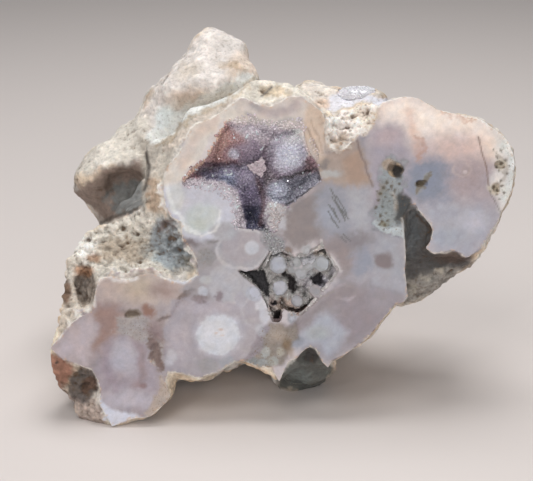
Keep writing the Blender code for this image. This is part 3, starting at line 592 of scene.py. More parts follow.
# The small stalactites of the lower hollow, as the camera sees them: middle, radius and the tones of rim
# and heart
STALACTITES: tuple[tuple[tuple[float, float], float, str, str], ...] = (
    ((278, 265), 9.5, "808085", "9799a5"), ((280, 288), 8.0, "808087", "9999a4"),
    ((321, 264), 8.5, "818284", "909298"), ((301, 274), 6.5, "7f7e83", "909095"),
    ((308, 267), 5.0, "807f82", "8d8c90"), ((315, 291), 6.5, "8a7f81", "807b81"),
    ((297, 301), 6.5, "7f7b7f", "8a878c"), ((292, 317), 5.0, "938e94", "9b9ba5"),
    ((291, 270), 4.0, "78787b", "878689"), ((306, 250), 5.0, "969396", "9e9da2"),
    ((254, 293), 7.0, "a2a1ad", "adadba"), ((297, 262), 5.0, "7f7f82", "8d8e91"),
)

# The needles of the dark dendrites: two ends each
DENDRITES: tuple[tuple[tuple[float, float], tuple[float, float]], ...] = (
    ((330, 189), (336, 199)), ((332, 197), (341, 212)), ((335, 200), (345, 218)), ((329, 205), (337, 217)),
    ((336, 196), (347, 215)), ((333, 208), (340, 222)), ((338, 206), (349, 219)), ((328, 211), (335, 223)),
    ((341, 210), (346, 221)), ((331, 218), (339, 228)), ((343, 234), (350, 241)), ((341, 237), (346, 242)),
)

# Rough spots of the face, where the saw went through chalky or crumbled stone
CHALK_MARKS: tuple[Mark, ...] = tuple(
    mark for mark in FACE_MARKS
    if mark.name in {
         "chalky halo of the pit", "speck field", "upper speck field", "greenish edge of the end",
        "brown specks of the end", "dark bay over the notch", "chalk patch", "pale foot of the halo",
        "white crust of the lobe", "rough white seam", "crumbled seam", "beige right edge", "grey druse edge",
        "beige corner", "brown corner", "plum crumbs", "greenish fill", "dark seam spots"}
)

# Marks that blur the edge of the polish
QUIET_MARKS = {
    "chalky halo of the pit", "pale foot of the halo", "dark bay over the notch", "rough white seam",
}

# Colours of the rind where the camera sees it, the lowest first
RIND_MARKS: tuple[Mark, ...] = (
    Area("peak", "dfd7d1", 10, 1, 2, ((140, 120), (158, 82), (190, 44), (213, 20), (240, 36), (262, 82),
        (240, 100), (190, 130), (150, 146))),
    Disc("peach side of the peak", "e0cfc0", 12, 0.9, 4, (243, 70), (15, 18), turn=30),
    Disc("ochre of the peak", "b9a081", 6, 0.6, 5, (230, 66), (11, 4), turn=10),
    Disc("tan of the peak", "d3c6b7", 8, 0.7, 5, (186, 70), (14, 6), turn=-30),
    Area("smooth trough", "f0f7f7", 8, 1, 2, ((150, 142), (156, 112), (176, 98), (200, 96), (236, 84),
        (244, 92), (218, 106), (194, 112), (178, 130), (164, 142))),
    Disc("brown shade in the trough", "cdb49e", 12, 0.75, 3, (188, 99), (18, 9), turn=-10),
    Disc("green foot of the trough", "dde6e9", 8, 0.9, 2, (180, 122), (8, 12), turn=40),
    Area("left lobe", "dad3c8", 10, 1, 2, ((60, 184), (78, 164), (110, 132), (130, 114), (148, 116),
        (150, 148), (124, 162), (98, 164), (84, 182))),
    Disc("orange end of the left lobe", "fbe2c4", 8, 0.7, 3, (86, 180), (13, 6), turn=10),
    Area("brown hollow of the left lobe", "8e7d73", 8, 1, 3, ((70, 192), (90, 180), (102, 168), (126, 164),
        (148, 150), (150, 196), (132, 216), (112, 226), (92, 212))),
    Disc("grey of the brown hollow", "737a7b", 7, 0.75, 7, (130, 196), (20, 15)),
    Area("top lobe", "ddd3c9", 6, 1, 2, ((292, 82), (320, 80), (338, 92), (330, 112), (318, 108), (300, 96))),
    Disc("tan of the top lobe", "d2b8a5", 5, 0.7, 2, (322, 104), (10, 6)),
    Area("snowy bank", "e4e3ea", 6, 1, 3, ((327, 112), (329, 99), (344, 92), (368, 94), (390, 98), (384, 107),
        (366, 105), (350, 109), (336, 115))),
    Area("chalk bank", "e1d7d0", 4, 1, 4, ((321, 116), (335, 112), (352, 107), (378, 105), (378, 122),
        (368, 131), (357, 136), (350, 148), (335, 156), (324, 148), (320, 130))),
    Disc("rusty bank", "d9bb8a", 5, 0.2, 7, (362, 117), (10, 7)),
    Disc("speckled bank", "8a735a", 5, 0.6, 6, (337, 143), (10, 7)),
    Streak("golden edge of the bank", "d7c2a3", 3, 0.7, 3, ((326, 114), (340, 110), (356, 106), (372, 104)),
        width=3),
    Disc("dark chips of the bank", "5f5245", 2, 0.8, 2, (326, 137), (2, 4)),
    Area("rim of the top", "d8d1c5", 5, 1, 2, ((216, 100), (238, 88), (252, 77), (294, 78), (308, 94),
        (300, 100), (281, 104), (258, 106), (244, 98))),
    Disc("ochre of the rim", "c4ac8a", 4, 0.6, 4, (276, 92), (16, 6)),
    Streak("slot of the rim", "66635f", 2, 0.9, 1, ((261, 96), (267, 92), (272, 87)), width=2.5),
    Area("left rim", "b8b0a5", 6, 1, 2, ((140, 140), (168, 138), (184, 114), (196, 105), (222, 98),
        (226, 108), (190, 130), (170, 160), (164, 200), (176, 222), (146, 226), (142, 196))),
    Disc("brown crumbs of the left rim", "a3866b", 5, 0.6, 7, (158, 196), (10, 22)),
    Area("crumbly rind", "c1bbb1", 8, 1, 2, ((64, 280), (74, 240), (92, 228), (140, 212), (180, 222),
        (198, 270), (150, 276), (96, 280))),
    Disc("grey of the crumbly rind", "b5c3c8", 8, 0.8, 4, (168, 252), (26, 12)),
    Disc("brown of the crumbly rind", "8f7c66", 8, 0.6, 6, (125, 250), (30, 14)),
    Disc("bright shoulder", "ebe7e0", 8, 0.7, 4, (84, 246), (14, 12)),
    Area("grey pockets", "8c9296", 8, 0.9, 5, ((152, 226), (168, 216), (180, 222), (184, 240), (192, 256),
        (192, 270), (160, 262), (150, 244))),
    # The dark tones of the upper and lower holes are painted shade of deep recesses; the upper one is brownish
    # as well.
    Disc("upper hole", "5b4a44", 8, 0.8, 6, (168, 227), (9, 8)),
    Disc("lower hole", "4a4c4d", 6, 0.8, 6, (175, 247), (15, 5), turn=14),
    Disc("low crumbs", "645c4c", 5, 0.7, 6, (187, 263), (8, 4), turn=20),
    Disc("orange hole", "876448", 4, 0.8, 2, (94, 257), (6, 4)),
    Area("left end", "bdb3a7", 6, 1, 2, ((58, 330), (66, 290), (74, 276), (98, 280), (94, 312), (66, 328))),
    Disc("long hole", "857a71", 5, 0.95, 2, (86, 287), (11, 17)),
    Disc("brown top of the long hole", "9e7455", 5, 0.8, 2, (84, 271), (9, 6)),
    Disc("side hole", "684e3c", 4, 0.9, 2, (66, 292), (5, 13)),
    Area("rusty toe", "986f5d", 7, 1, 3, ((48, 352), (66, 356), (74, 366), (66, 384), (62, 396), (52, 378))),
    Disc("black speck of the toe", "3a2f2b", 1.5, 0.9, 0.5, (57, 362), (1.8, 1.5)),
    Disc("second black speck of the toe", "4a3a34", 1.5, 0.9, 0.5, (60, 391), (1.5, 1.5)),
    Area("grey heel", "a2938a", 7, 1, 4, ((62, 384), (80, 396), (98, 400), (112, 430), (84, 432), (70, 412))),
    Disc("large hole", "504845", 6, 0.95, 3, (84, 384), (16, 17)),
    Disc("brown of the large hole", "553a2a", 4, 0.7, 4, (90, 386), (8, 7)),
    Area("under the notch", "5c5a59", 10, 1, 3, ((400, 204), (418, 200), (436, 230), (432, 250), (470, 252),
        (474, 266), (440, 280), (404, 300))),
    Disc("brown corner of the notch", "54433b", 6, 0.8, 2, (452, 258), (18, 6)),
    Area("lip under the notch", "8d8882", 6, 1, 3, ((404, 284), (424, 272), (446, 268), (462, 276),
        (440, 292), (404, 306))),
    Disc("green grey wall of the notch", "5a5f62", 8, 0.7, 3, (412, 234), (7, 22)),
    Disc("bump of the lip", "aaa499", 3, 0.8, 4, (426, 278), (5, 3)),
    Disc("second bump of the lip", "b0a89c", 3, 0.8, 4, (438, 271), (4, 3)),
    Disc("third bump of the lip", "a39e93", 3, 0.7, 4, (413, 291), (5, 3)),
    Streak("brown rim of the notch", "5b4a40", 2, 0.6, 2, ((418, 215), (428, 226), (431, 238), (426, 249)),
        width=2.5),
    Streak("pale green band", "eff1ee", 6, 0.85, 3, ((152, 137), (168, 131), (183, 114), (196, 104),
        (214, 98), (232, 87), (246, 78)), width=12),
    Streak("brown crest", "bfa88a", 3, 0.5, 6, ((152, 143), (170, 139), (186, 124), (194, 115), (222, 106),
        (239, 92), (252, 84)), width=4),
    Streak("rosy edge under the crest", "d0c2b6", 3, 0.6, 4, ((164, 152), (180, 139), (194, 124), (207, 114),
        (226, 109), (241, 99)), width=6),
    # Painted shade: a dark line in the crevice behind the rim, and a painted shadow under the left lobe.
    Streak("dark crevice behind the rim", "3b3531", 3, 0.8, 1, ((146, 152), (149, 165), (148, 180),
        (144, 191)), width=3.5),
    Streak("dark gap under the left lobe", "40372f", 3, 0.75, 1.5, ((101, 222), (112, 218), (124, 213),
        (136, 209)), width=3.5),
    # The middle foot lies in the shadow under the arch: its dark tones are grey-green stone with painted
    # shadow.
    Area("middle foot", "60615d", 7, 1, 3, ((278, 368), (300, 344), (330, 350), (334, 372), (322, 396),
        (300, 392), (280, 386))),
    Disc("dark of the middle foot", "2f2929", 5, 0.8, 2, (311, 356), (8, 7)),
    Disc("grey green of the middle foot", "5c6260", 5, 0.7, 3, (300, 376), (13, 8)),
)

# Where the rind is glazed smooth, where it is only fine grained, and where it crumbles
SMOOTH_RIND = {"smooth trough", "green foot of the trough", "snowy bank", "pale green band"}
CALM_RIND = {"peak", "left lobe", "brown hollow of the left lobe"}
CRUMBLY_RIND = {
    "crumbly rind", "brown crumbs of the left rim", "chalk bank", "rusty bank", "grey heel", "large hole",
    "lip under the notch", "left end"}

# Growth centres of the agate, with how far their bands reach
GROWTH_CENTRES: tuple[tuple[float, float, float], ...] = (
    (218, 335, 48), (252, 248, 26), (229, 283, 24), (124, 357, 34), (466, 175, 42), (420, 186, 34),
    (388, 150, 26), (316, 333, 26), (200, 216, 28), (364, 262, 26),
)

# Colours of the crystals in the main hollow
DRUSE_MARKS: tuple[Mark, ...] = (
    Area("grey lavender roof", "d8cbd4", 10, 1, 2, ((214, 114), (262, 112), (304, 114), (308, 128),
        (290, 138), (262, 150), (236, 150), (224, 138))),
    Area("sugary roof", "d7cdd7", 8, 0.9, 3, ((240, 114), (300, 114), (306, 124), (280, 130), (262, 136),
        (246, 132))),
    Area("wine red slope", "ba9594", 9, 1, 3, ((178, 186), (186, 168), (206, 150), (216, 126), (226, 120),
        (238, 134), (250, 150), (240, 166), (206, 164), (196, 176))),
    Disc("red brown rim", "c5a098", 8, 0.8, 3, (222, 142), (8, 14), turn=30),
    Area("plum roof", "ad9eb0", 8, 0.9, 3, ((236, 146), (250, 140), (264, 146), (266, 158), (250, 164),
        (236, 164))),
    Ring("ring of the pale eye", "997f8a", 3, 0.6, 1, (233, 154), (8, 7), width=3),
    Disc("pale eye", "d4cfdd", 4, 0.95, 1, (234, 154), (5.5, 5.5)),
    # Painted shade: a dark line under the step between the slope and the pocket.
    Streak("dark step", "6c5562", 4, 0.9, 2, ((192, 168), (206, 163), (222, 164), (236, 165)), width=4),
    Area("blue grey pocket", "756c7e", 8, 1, 2, ((184, 186), (196, 172), (216, 166), (240, 168), (234, 186),
        (210, 188))),
    Disc("wine foot of the pocket", "c2999e", 6, 0.8, 3, (192, 180), (10, 7), turn=-25),
    # Painted glints: pale specks in the pocket stand for crystals catching the light.
    Disc("white sparks of the pocket", "a09eb5", 4, 0.6, 5, (218, 175), (17, 4), turn=-8),
    Area("fringe by the ball", "e1cdc5", 6, 1, 2, ((296, 128), (308, 128), (318, 150), (318, 160), (306, 158),
        (302, 142))),
    Disc("ball", "cec7d5", 7, 1, 1, (287, 154), (19, 22)),
    Disc("heart of the ball", "e8e7f7", 12, 0.9, 1, (290, 156), (12, 13)),
    Disc("pink head of the ball", "f7f4f7", 8, 0.7, 2, (296, 138), (12, 6)),
    Disc("shade of the ball", "817583", 5, 0.7, 1, (270, 160), (4, 13), turn=10),
    Streak("foot of the ball", "9e8fa0", 4, 0.8, 1.5, ((272, 168), (278, 176), (290, 174), (304, 168)),
        width=3),
    # Painted shade behind the ball, on its left side.
    Streak("dark behind the ball", "91828f", 4, 0.9, 2, ((268, 144), (263, 152), (264, 164)), width=4),
    Area("wine corner", "9e8187", 5, 0.9, 3, ((306, 158), (314, 156), (320, 168), (314, 174), (306, 168))),
    Area("grey crevice", "a6a4b1", 6, 1, 3, ((280, 180), (300, 176), (318, 170), (324, 182), (310, 194),
        (294, 204), (284, 206), (282, 192))),
    # Painted shade: dark lines along the upper and lower edges of the crevice.
    Streak("black line over the crevice", "494346", 2.5, 0.9, 2, ((279, 179), (292, 177), (306, 171),
        (316, 168), (321, 180)), width=2.5),
    Streak("black line under the crevice", "2c2724", 2, 0.8, 2.5, ((285, 205), (294, 200), (304, 192),
        (312, 188)), width=2.2),
    Disc("second ball", "bcbdcc", 5, 1, 1, (278, 192), (11, 12)),
    Disc("heart of the second ball", "c6c7d8", 6, 0.8, 1, (278, 190), (6, 6)),
    Area("grey column", "aba2b6", 8, 1, 1, ((222, 170), (246, 164), (262, 176), (264, 206), (240, 206),
        (232, 190))),
    Disc("blue head of the column", "aab1c9", 8, 0.8, 2, (228, 180), (8, 6)),
    Area("plum column", "978da5", 12, 0.9, 2, ((238, 190), (262, 184), (264, 208), (240, 208))),
    Area("throat", "545368", 8, 1, 1, ((238, 206), (264, 204), (266, 228), (272, 238), (256, 232),
        (238, 230))),
    Streak("brown wall", "80686b", 5, 0.8, 2, ((258, 178), (262, 196), (263, 210), (262, 224)), width=5),
    Area("rosy lobes", "cbbfbf", 4, 1, 2, ((268, 200), (276, 204), (284, 206), (288, 212), (280, 232),
        (270, 230), (264, 218), (265, 208))),
    Area("grey druse under the throat", "a9a9aa", 4, 0.9, 3, ((260, 228), (273, 233), (286, 240), (288, 251),
        (273, 259), (262, 248))),
    Streak("fringe of the dome", "d3c8d0", 3, 0.95, 3, ((184, 187), (204, 186), (222, 189), (232, 198),
        (236, 210), (236, 228)), width=15),
    Streak("fringe of the lobes", "a9a1ab", 3, 0.85, 3, ((270, 198), (266, 206), (265, 220), (272, 232)),
        width=4),
    Streak("fringe of the roof", "e7d8d6", 5, 0.8, 3, ((232, 118), (262, 120), (280, 124), (300, 122)),
        width=8),
    Streak("crumbs of the rim", "ebc7b2", 2, 0.8, 3, ((184, 180), (196, 168), (206, 156), (214, 140),
        (222, 126), (232, 119)), width=3),
    Disc("white crystals", "f7f7f7", 3, 0.9, 2, (297, 130), (5, 3)),
)

# Painted highlights: where single large crystals of the main hollow are painted near white, as if they caught
# the light
GLINTS: tuple[tuple[float, float], ...] = (
    (234, 136), (247, 136), (257, 134), (276, 138), (281, 135), (262, 148), (261, 150), (225, 170),
    (232, 171), (229, 174), (213, 175), (197, 170), (303, 173), (309, 175), (300, 187), (276, 183),
    (196, 186), (203, 184), (211, 187), (226, 189), (236, 200), (237, 207), (238, 223), (276, 203),
    (236, 228), (272, 204), (186, 175),
)

# The loose pink splinter that lies on the column
SPLINTER: tuple[tuple[float, float], ...] = (
    (246, 164.5), (248.5, 163), (250, 164), (251.8, 162), (253.5, 162.8), (255.3, 160), (257.4, 160.6),
    (259.2, 158.5), (261.9, 155.5), (263.2, 158.8), (264.9, 160.2), (264.4, 163.4), (266.3, 167),
    (265.6, 170.2), (263.4, 172), (263, 175), (261.2, 178), (259.6, 175), (257.6, 175.4), (256, 173),
    (253.6, 173.4), (251.6, 170.6), (249.6, 169.8), (248.4, 167),
)

# Crystals that stand on the face itself: along the dome, on the lobes by the throat, round the rim
FRINGES: tuple[tuple[tuple[float, float], ...], ...] = (
    ((184, 188), (196, 183), (212, 184), (224, 187), (234, 193), (240, 203), (241, 215), (240, 229),
        (232, 233), (231, 222), (231, 211), (226, 201), (214, 194), (198, 191)),
    ((266, 200), (274, 202), (283, 206), (287, 210), (284, 218), (281, 226), (276, 234), (268, 230),
        (263, 219), (264, 209)),
    ((180, 181), (189, 166), (204, 157), (213, 143), (215, 133), (226, 119), (230, 122), (219, 136),
        (217, 145), (207, 160), (193, 169), (184, 183)),
    ((228, 120), (236, 114), (250, 113), (262, 118), (276, 121), (292, 118), (303, 117), (308, 124),
        (306, 134), (300, 128), (276, 129), (262, 128), (252, 124), (240, 126)),
    ((304, 131), (312, 136), (318, 148), (320, 160), (316, 160), (311, 152), (306, 142)),
    ((262, 230), (272, 235), (284, 241), (286, 250), (274, 256), (266, 247), (263, 238)),
)

# Knobs that grow over the rim of the lower hollow
OVERGROWTH: tuple[tuple[tuple[float, float], ...], ...] = (
    ((262, 266), (268, 254), (272, 246), (284, 248), (294, 254), (303, 252), (316, 245), (323, 240),
        (328, 250), (322, 250), (315, 252), (306, 257), (296, 259), (284, 253), (274, 251), (270, 258),
        (266, 268)),
    ((327, 250), (334, 259), (340, 270), (335, 279), (320, 299), (310, 310), (301, 317), (289, 316),
        (283, 311), (283, 320), (272, 325), (266, 312), (268, 303), (274, 318), (279, 318), (281, 308),
        (290, 311), (300, 312), (308, 304), (331, 277), (335, 270), (325, 253)),
)

# Colours between the small stalactites
KNOB_MARKS: tuple[Mark, ...] = (
    Disc("brown floor", "b9a498", 6, 0.9, 5, (286, 305), (13, 8)),
    Disc("sandy wall", "ab9993", 5, 0.8, 4, (272, 304), (4, 10)),
    Disc("grey top", "c3c3ca", 8, 0.9, 3, (276, 247), (11, 9)),
    Disc("rusty top", "8e7a76", 4, 0.7, 4, (288, 253), (6, 4)),
    Disc("greenish knobs", "c7c5cb", 7, 0.9, 3, (306, 262), (14, 8)),
    Disc("low greenish knobs", "c6c6ca", 6, 0.9, 3, (304, 276), (9, 7)),
    Disc("rusty corner", "f7e4d7", 4, 0.7, 4, (318, 247), (5, 6)),
    Disc("grey grit", "bab4ba", 6, 0.7, 5, (306, 284), (9, 7)),
    Disc("grey flank", "bfbac5", 5, 0.8, 3, (324, 282), (7, 8)),
    Disc("white drop", "bbb5bb", 4, 0.9, 1, (333, 271), (4, 7)),
    Streak("grey knobs over the rim", "a19d9b", 4, 0.9, 4, ((266, 262), (272, 248), (286, 250), (300, 255),
        (318, 245)), width=7),
    Streak("pale knobs over the rim", "aaa4a2", 4, 0.9, 4, ((326, 248), (338, 270), (318, 300), (300, 314)),
        width=7),
    Streak("milky right edge", "cdc6c4", 4, 0.8, 2, ((330, 284), (320, 296), (310, 306)), width=6),
)

# Where the lower hollow stays deep: holes whose dark tones are painted shade
VOIDS: tuple[Mark, ...] = (
    Area("dark triangle", "666266", 2.5, 1, 3, ((238, 269), (250, 270), (262, 270), (268, 284), (269, 296),
        (262, 292), (250, 279))),
    Area("dark slit", "6c6062", 2.5, 1, 3, ((286, 275), (291, 275), (296, 282), (295, 292), (290, 288))),
    Disc("right hole", "665f66", 2.5, 1, 4, (319, 279), (5, 4.5)),
    Disc("low hole", "5a4a4a", 2.5, 1, 3, (277, 319), (5.5, 7)),
    Streak("small hole", "8c7167", 2.5, 1, 3, ((289, 311), (297, 312), (304, 309)), width=3.5),
    Disc("second small hole", "756e74", 2.5, 1, 3, (275, 302), (3, 3)),
    Disc("pocket by the slit", "4a403b", 3, 0.8, 3, (283, 275), (3, 2.5)),
)

class Material(Enum):
    """The record's material slots."""

    STONE = "chalcedony_stone"
    AMETHYST = "amethyst_druse"
    PALE = "pale_druse"
    LAVENDER = "lavender_druse"


class Layer(Enum):
    """The attributes that the painted meshes carry to their materials."""

    COLOUR = "grown_colour"
    CHALK = "chalk"
    RELIEF = "relief"


def add_node(
    tree: bpy.types.NodeTree,
    kind: str,
    settings: Mapping[str | int, Any] | None = None,
    links: Mapping[str | int, bpy.types.NodeSocket] | None = None,
) -> bpy.types.Node:
    """Add a node with its settings and links.

    Args:
        tree: where it goes.
        kind: the node's type.
        settings: values for its properties, or for its inputs by name or number.
        links: the sockets that feed its inputs, by name or number.

    Returns:
        The node.
    """
    made = tree.nodes.new(kind)
    for key, value in (settings or {}).items():
        if isinstance(key, str) and hasattr(made, key):
            setattr(made, key, value)
        else:
            made.inputs[key].default_value = value
    for key, source in (links or {}).items():
        tree.links.new(source, made.inputs[key])
    return made


@dataclass(frozen=True)
class Finish(ABC):
    """What a surface is made of and how it was made.

    Attributes:
        name: the material's name.
        ior: its index of refraction.
        roughness: the roughness of its shader where no node sets it.
    """

    name: str
    ior: float = 1.54
    roughness: float = 0.5

    @abstractmethod
    def dress(self, tree: bpy.types.NodeTree, shader: bpy.types.Node) -> None:
        """Add the nodes that give the surface its colour, roughness and relief."""

    def make(self) -> bpy.types.Material:
        """Make the material.

        Returns:
            The material.
        """
        made = bpy.data.materials.new(self.name)
        made.use_nodes = True
        tree = made.node_tree
        tree.nodes.clear()
        shader = add_node(tree, "ShaderNodeBsdfPrincipled", {"IOR": self.ior, "Roughness": self.roughness})
        add_node(tree, "ShaderNodeOutputMaterial", links={"Surface": shader.outputs["BSDF"]})
        self.dress(tree, shader)
        return made


def layer_node(tree: bpy.types.NodeTree, layer: Layer) -> bpy.types.Node:
    """Add the node that reads one of the painted layers."""
    return add_node(tree, "ShaderNodeAttribute", {"attribute_name": layer.value})


@dataclass(frozen=True)
class PolishedChalcedony(Finish):
    """Chalcedony, sawn and polished: waxy, a little see-through, with a soft gloss but for its chalky spots.

    Attributes:
        cloud_mm: size of the milky clouds.
        fleck_mm: size of the fine flecks.
        chalk_grain_mm: grain of the rough spots, drawn coarser than the real 0.1 mm so that it shows.
        chalk_roughness: roughness of the rough spots.
        glow: share of light that goes through the skin of the stone.
        glow_mm: how far that light goes.
    """

    name: str = "chalcedony_sawn_and_polished"
    roughness: float = 0.3
    cloud_mm: float = 2.6
    fleck_mm: float = 0.5
    chalk_grain_mm: float = 0.6
    chalk_roughness: float = 0.85
    glow: float = 0.35
    glow_mm: float = 1.4

    def dress(self, tree: bpy.types.NodeTree, shader: bpy.types.Node) -> None:
        """Add the painted agate, its clouds and flecks, and the grain of the chalky spots.

        Args:
            tree: the material's nodes.
            shader: its shader.
        """
        place = add_node(tree, "ShaderNodeTexCoord").outputs["Object"]
        colour = layer_node(tree, Layer.COLOUR).outputs["Color"]
        chalk = layer_node(tree, Layer.CHALK).outputs["Fac"]
        clouds = add_node(tree, "ShaderNodeTexNoise", {
            "Scale": per_metre(self.cloud_mm), "Detail": 5.0, "Roughness": 0.6, "Distortion": 0.6,
        }, {"Vector": place})
        shade = add_node(tree, "ShaderNodeMapRange", {1: 0.3, 2: 0.7, 3: 0.91, 4: 1.08},
                         {0: clouds.outputs["Fac"]})
        flecks = add_node(tree, "ShaderNodeTexNoise", {
            "Scale": per_metre(self.fleck_mm), "Detail": 3.0, "Roughness": 0.7,
        }, {"Vector": place})
        fleck_shade = add_node(tree, "ShaderNodeMapRange", {1: 0.3, 2: 0.7, 3: 0.95, 4: 1.05},
                               {0: flecks.outputs["Fac"]})
        both = add_node(tree, "ShaderNodeMath", {"operation": "MULTIPLY"},
                        {0: shade.outputs[0], 1: fleck_shade.outputs[0]})
        toned = add_node(tree, "ShaderNodeVectorMath", {"operation": "SCALE"},
                         {0: colour, "Scale": both.outputs[0]})
        # Brown iron crumbs sit in the chalky spots
        crumbs = add_node(tree, "ShaderNodeTexNoise", {
            "Scale": per_metre(self.chalk_grain_mm), "Detail": 4.0, "Roughness": 0.75,
        }, {"Vector": place})
        crumb_share = add_node(tree, "ShaderNodeMapRange", {1: 0.56, 2: 0.66, 3: 0.0, 4: 0.75},
                               {0: crumbs.outputs["Fac"]})
        crumb_cover = add_node(tree, "ShaderNodeMath", {"operation": "MULTIPLY"},
                               {0: crumb_share.outputs[0], 1: chalk})
        crumbed = add_node(tree, "ShaderNodeMix", {"data_type": "RGBA", 7: linear("7d6244")},
                           {0: crumb_cover.outputs[0], 6: toned.outputs[0]})
        roughness = add_node(tree, "ShaderNodeMapRange", {1: 0.0, 2: 1.0, 3: self.roughness,
                             4: self.chalk_roughness}, {0: chalk})
        relief = add_node(tree, "ShaderNodeMath", {"operation": "MULTIPLY"},
                          {0: crumbs.outputs["Fac"], 1: chalk})
        bump = add_node(tree, "ShaderNodeBump", {"Strength": 0.7, "Distance": 0.35 * MM},
                        {"Height": relief.outputs[0]})
        tree.links.new(crumbed.outputs[2], shader.inputs["Base Color"])
        tree.links.new(roughness.outputs[0], shader.inputs["Roughness"])
        tree.links.new(bump.outputs["Normal"], shader.inputs["Normal"])
        shader.inputs["Subsurface Weight"].default_value = self.glow
        shader.inputs["Subsurface Radius"].default_value = (1.0, 0.8, 0.75)
        shader.inputs["Subsurface Scale"].default_value = self.glow_mm * MM


@dataclass(frozen=True)
class WeatheredRind(Finish):
    """Chalcedony rind, weathered in the ground: dull and gritty, with iron brown in its pits.

    Attributes:
        stain_mm: size of the faint stains.
        grain_mm: size of the crumbs.
        grit_mm: size of the grit, drawn coarser than the real 0.05 mm so that it shows.
    """

    name: str = "chalcedony_rind_weathered"
    roughness: float = 0.82
    stain_mm: float = 5.0
    grain_mm: float = 1.1
    grit_mm: float = 0.35

    def dress(self, tree: bpy.types.NodeTree, shader: bpy.types.Node) -> None:
        """Add the painted rind, its stains, its brown pits and its grit.

        Args:
            tree: the material's nodes.
            shader: its shader.
        """
        place = add_node(tree, "ShaderNodeTexCoord").outputs["Object"]
        colour = layer_node(tree, Layer.COLOUR).outputs["Color"]
        stains = add_node(tree, "ShaderNodeTexNoise", {
            "Scale": per_metre(self.stain_mm), "Detail": 6.0, "Roughness": 0.65,
        }, {"Vector": place})
        grains = add_node(tree, "ShaderNodeTexNoise", {
            "Scale": per_metre(self.grain_mm), "Detail": 5.0, "Roughness": 0.7,
        }, {"Vector": place})
        grit = add_node(tree, "ShaderNodeTexNoise", {
            "Scale": per_metre(self.grit_mm), "Detail": 3.0, "Roughness": 0.7,
        }, {"Vector": place})
        stain_shade = add_node(tree, "ShaderNodeMapRange", {1: 0.3, 2: 0.7, 3: 0.9, 4: 1.08},
                               {0: stains.outputs["Fac"]})
        grain_shade = add_node(tree, "ShaderNodeMapRange", {1: 0.3, 2: 0.7, 3: 0.8, 4: 1.12},
                               {0: grains.outputs["Fac"]})
        both = add_node(tree, "ShaderNodeMath", {"operation": "MULTIPLY"},
                        {0: stain_shade.outputs[0], 1: grain_shade.outputs[0]})
        toned = add_node(tree, "ShaderNodeVectorMath", {"operation": "SCALE"},
                         {0: colour, "Scale": both.outputs[0]})
        # Brown iron sits between the crumbs
        relief = layer_node(tree, Layer.RELIEF).outputs["Fac"]
        between = add_node(tree, "ShaderNodeMapRange", {1: 0.45, 2: 0.3, 3: 0.0, 4: 0.8},
                           {0: grains.outputs["Fac"]})
        low = add_node(tree, "ShaderNodeMapRange", {1: 0.6, 2: 0.35, 3: 0.2, 4: 1.0}, {0: relief})
        brown = add_node(tree, "ShaderNodeMath", {"operation": "MULTIPLY"},
                         {0: between.outputs[0], 1: low.outputs[0]})
        browned = add_node(tree, "ShaderNodeMix", {"data_type": "RGBA", 7: linear("7a5d40")},
                           {0: brown.outputs[0], 6: toned.outputs[0]})
        coarse = add_node(tree, "ShaderNodeBump", {"Strength": 0.8, "Distance": 0.5 * MM},
                          {"Height": grains.outputs["Fac"]})
        fine = add_node(tree, "ShaderNodeBump", {"Strength": 0.6, "Distance": 0.18 * MM},
                        {"Height": grit.outputs["Fac"], "Normal": coarse.outputs["Normal"]})
        tree.links.new(browned.outputs[2], shader.inputs["Base Color"])
        tree.links.new(fine.outputs["Normal"], shader.inputs["Normal"])
        shader.inputs["Subsurface Weight"].default_value = 0.15
        shader.inputs["Subsurface Radius"].default_value = (1.0, 0.7, 0.5)
        shader.inputs["Subsurface Scale"].default_value = 1.2 * MM


@dataclass(frozen=True)
class GrownDruse(Finish):
    """Quartz druse as it grew: a crust of small clear points that sparkle on a milky ground.

    Attributes:
        clear: share of light that goes through the points.
        glow: share of light that spreads in their milky foot.
    """

    name: str = "amethyst_druse_grown"
    ior: float = 1.544
    roughness: float = 0.12
    clear: float = 0.06
    glow: float = 0.4

    def dress(self, tree: bpy.types.NodeTree, shader: bpy.types.Node) -> None:
        """Add the painted quartz and its tiny flaws.

        Args:
            tree: the material's nodes.
            shader: its shader.
        """
        place = add_node(tree, "ShaderNodeTexCoord").outputs["Object"]
        colour = layer_node(tree, Layer.COLOUR).outputs["Color"]
        flaws = add_node(tree, "ShaderNodeTexNoise", {
            "Scale": per_metre(0.4), "Detail": 3.0, "Roughness": 0.7,
        }, {"Vector": place})
        shade = add_node(tree, "ShaderNodeMapRange", {1: 0.3, 2: 0.7, 3: 0.85, 4: 1.12},
                         {0: flaws.outputs["Fac"]})
        toned = add_node(tree, "ShaderNodeVectorMath", {"operation": "SCALE"},
                         {0: colour, "Scale": shade.outputs[0]})
        tree.links.new(toned.outputs[0], shader.inputs["Base Color"])
        # The floors of the dark holes are dusty, so they are dull
        lightness = add_node(tree, "ShaderNodeRGBToBW", {}, {0: colour}).outputs[0]
        dull = add_node(tree, "ShaderNodeMapRange", {1: 0.02, 2: 0.1, 3: 0.95, 4: self.roughness},
                        {0: lightness})
        tree.links.new(dull.outputs[0], shader.inputs["Roughness"])
        shader.inputs["Transmission Weight"].default_value = self.clear
        shader.inputs["Subsurface Weight"].default_value = self.glow
        shader.inputs["Subsurface Radius"].default_value = (1.0, 0.8, 0.9)
        shader.inputs["Subsurface Scale"].default_value = 0.8 * MM


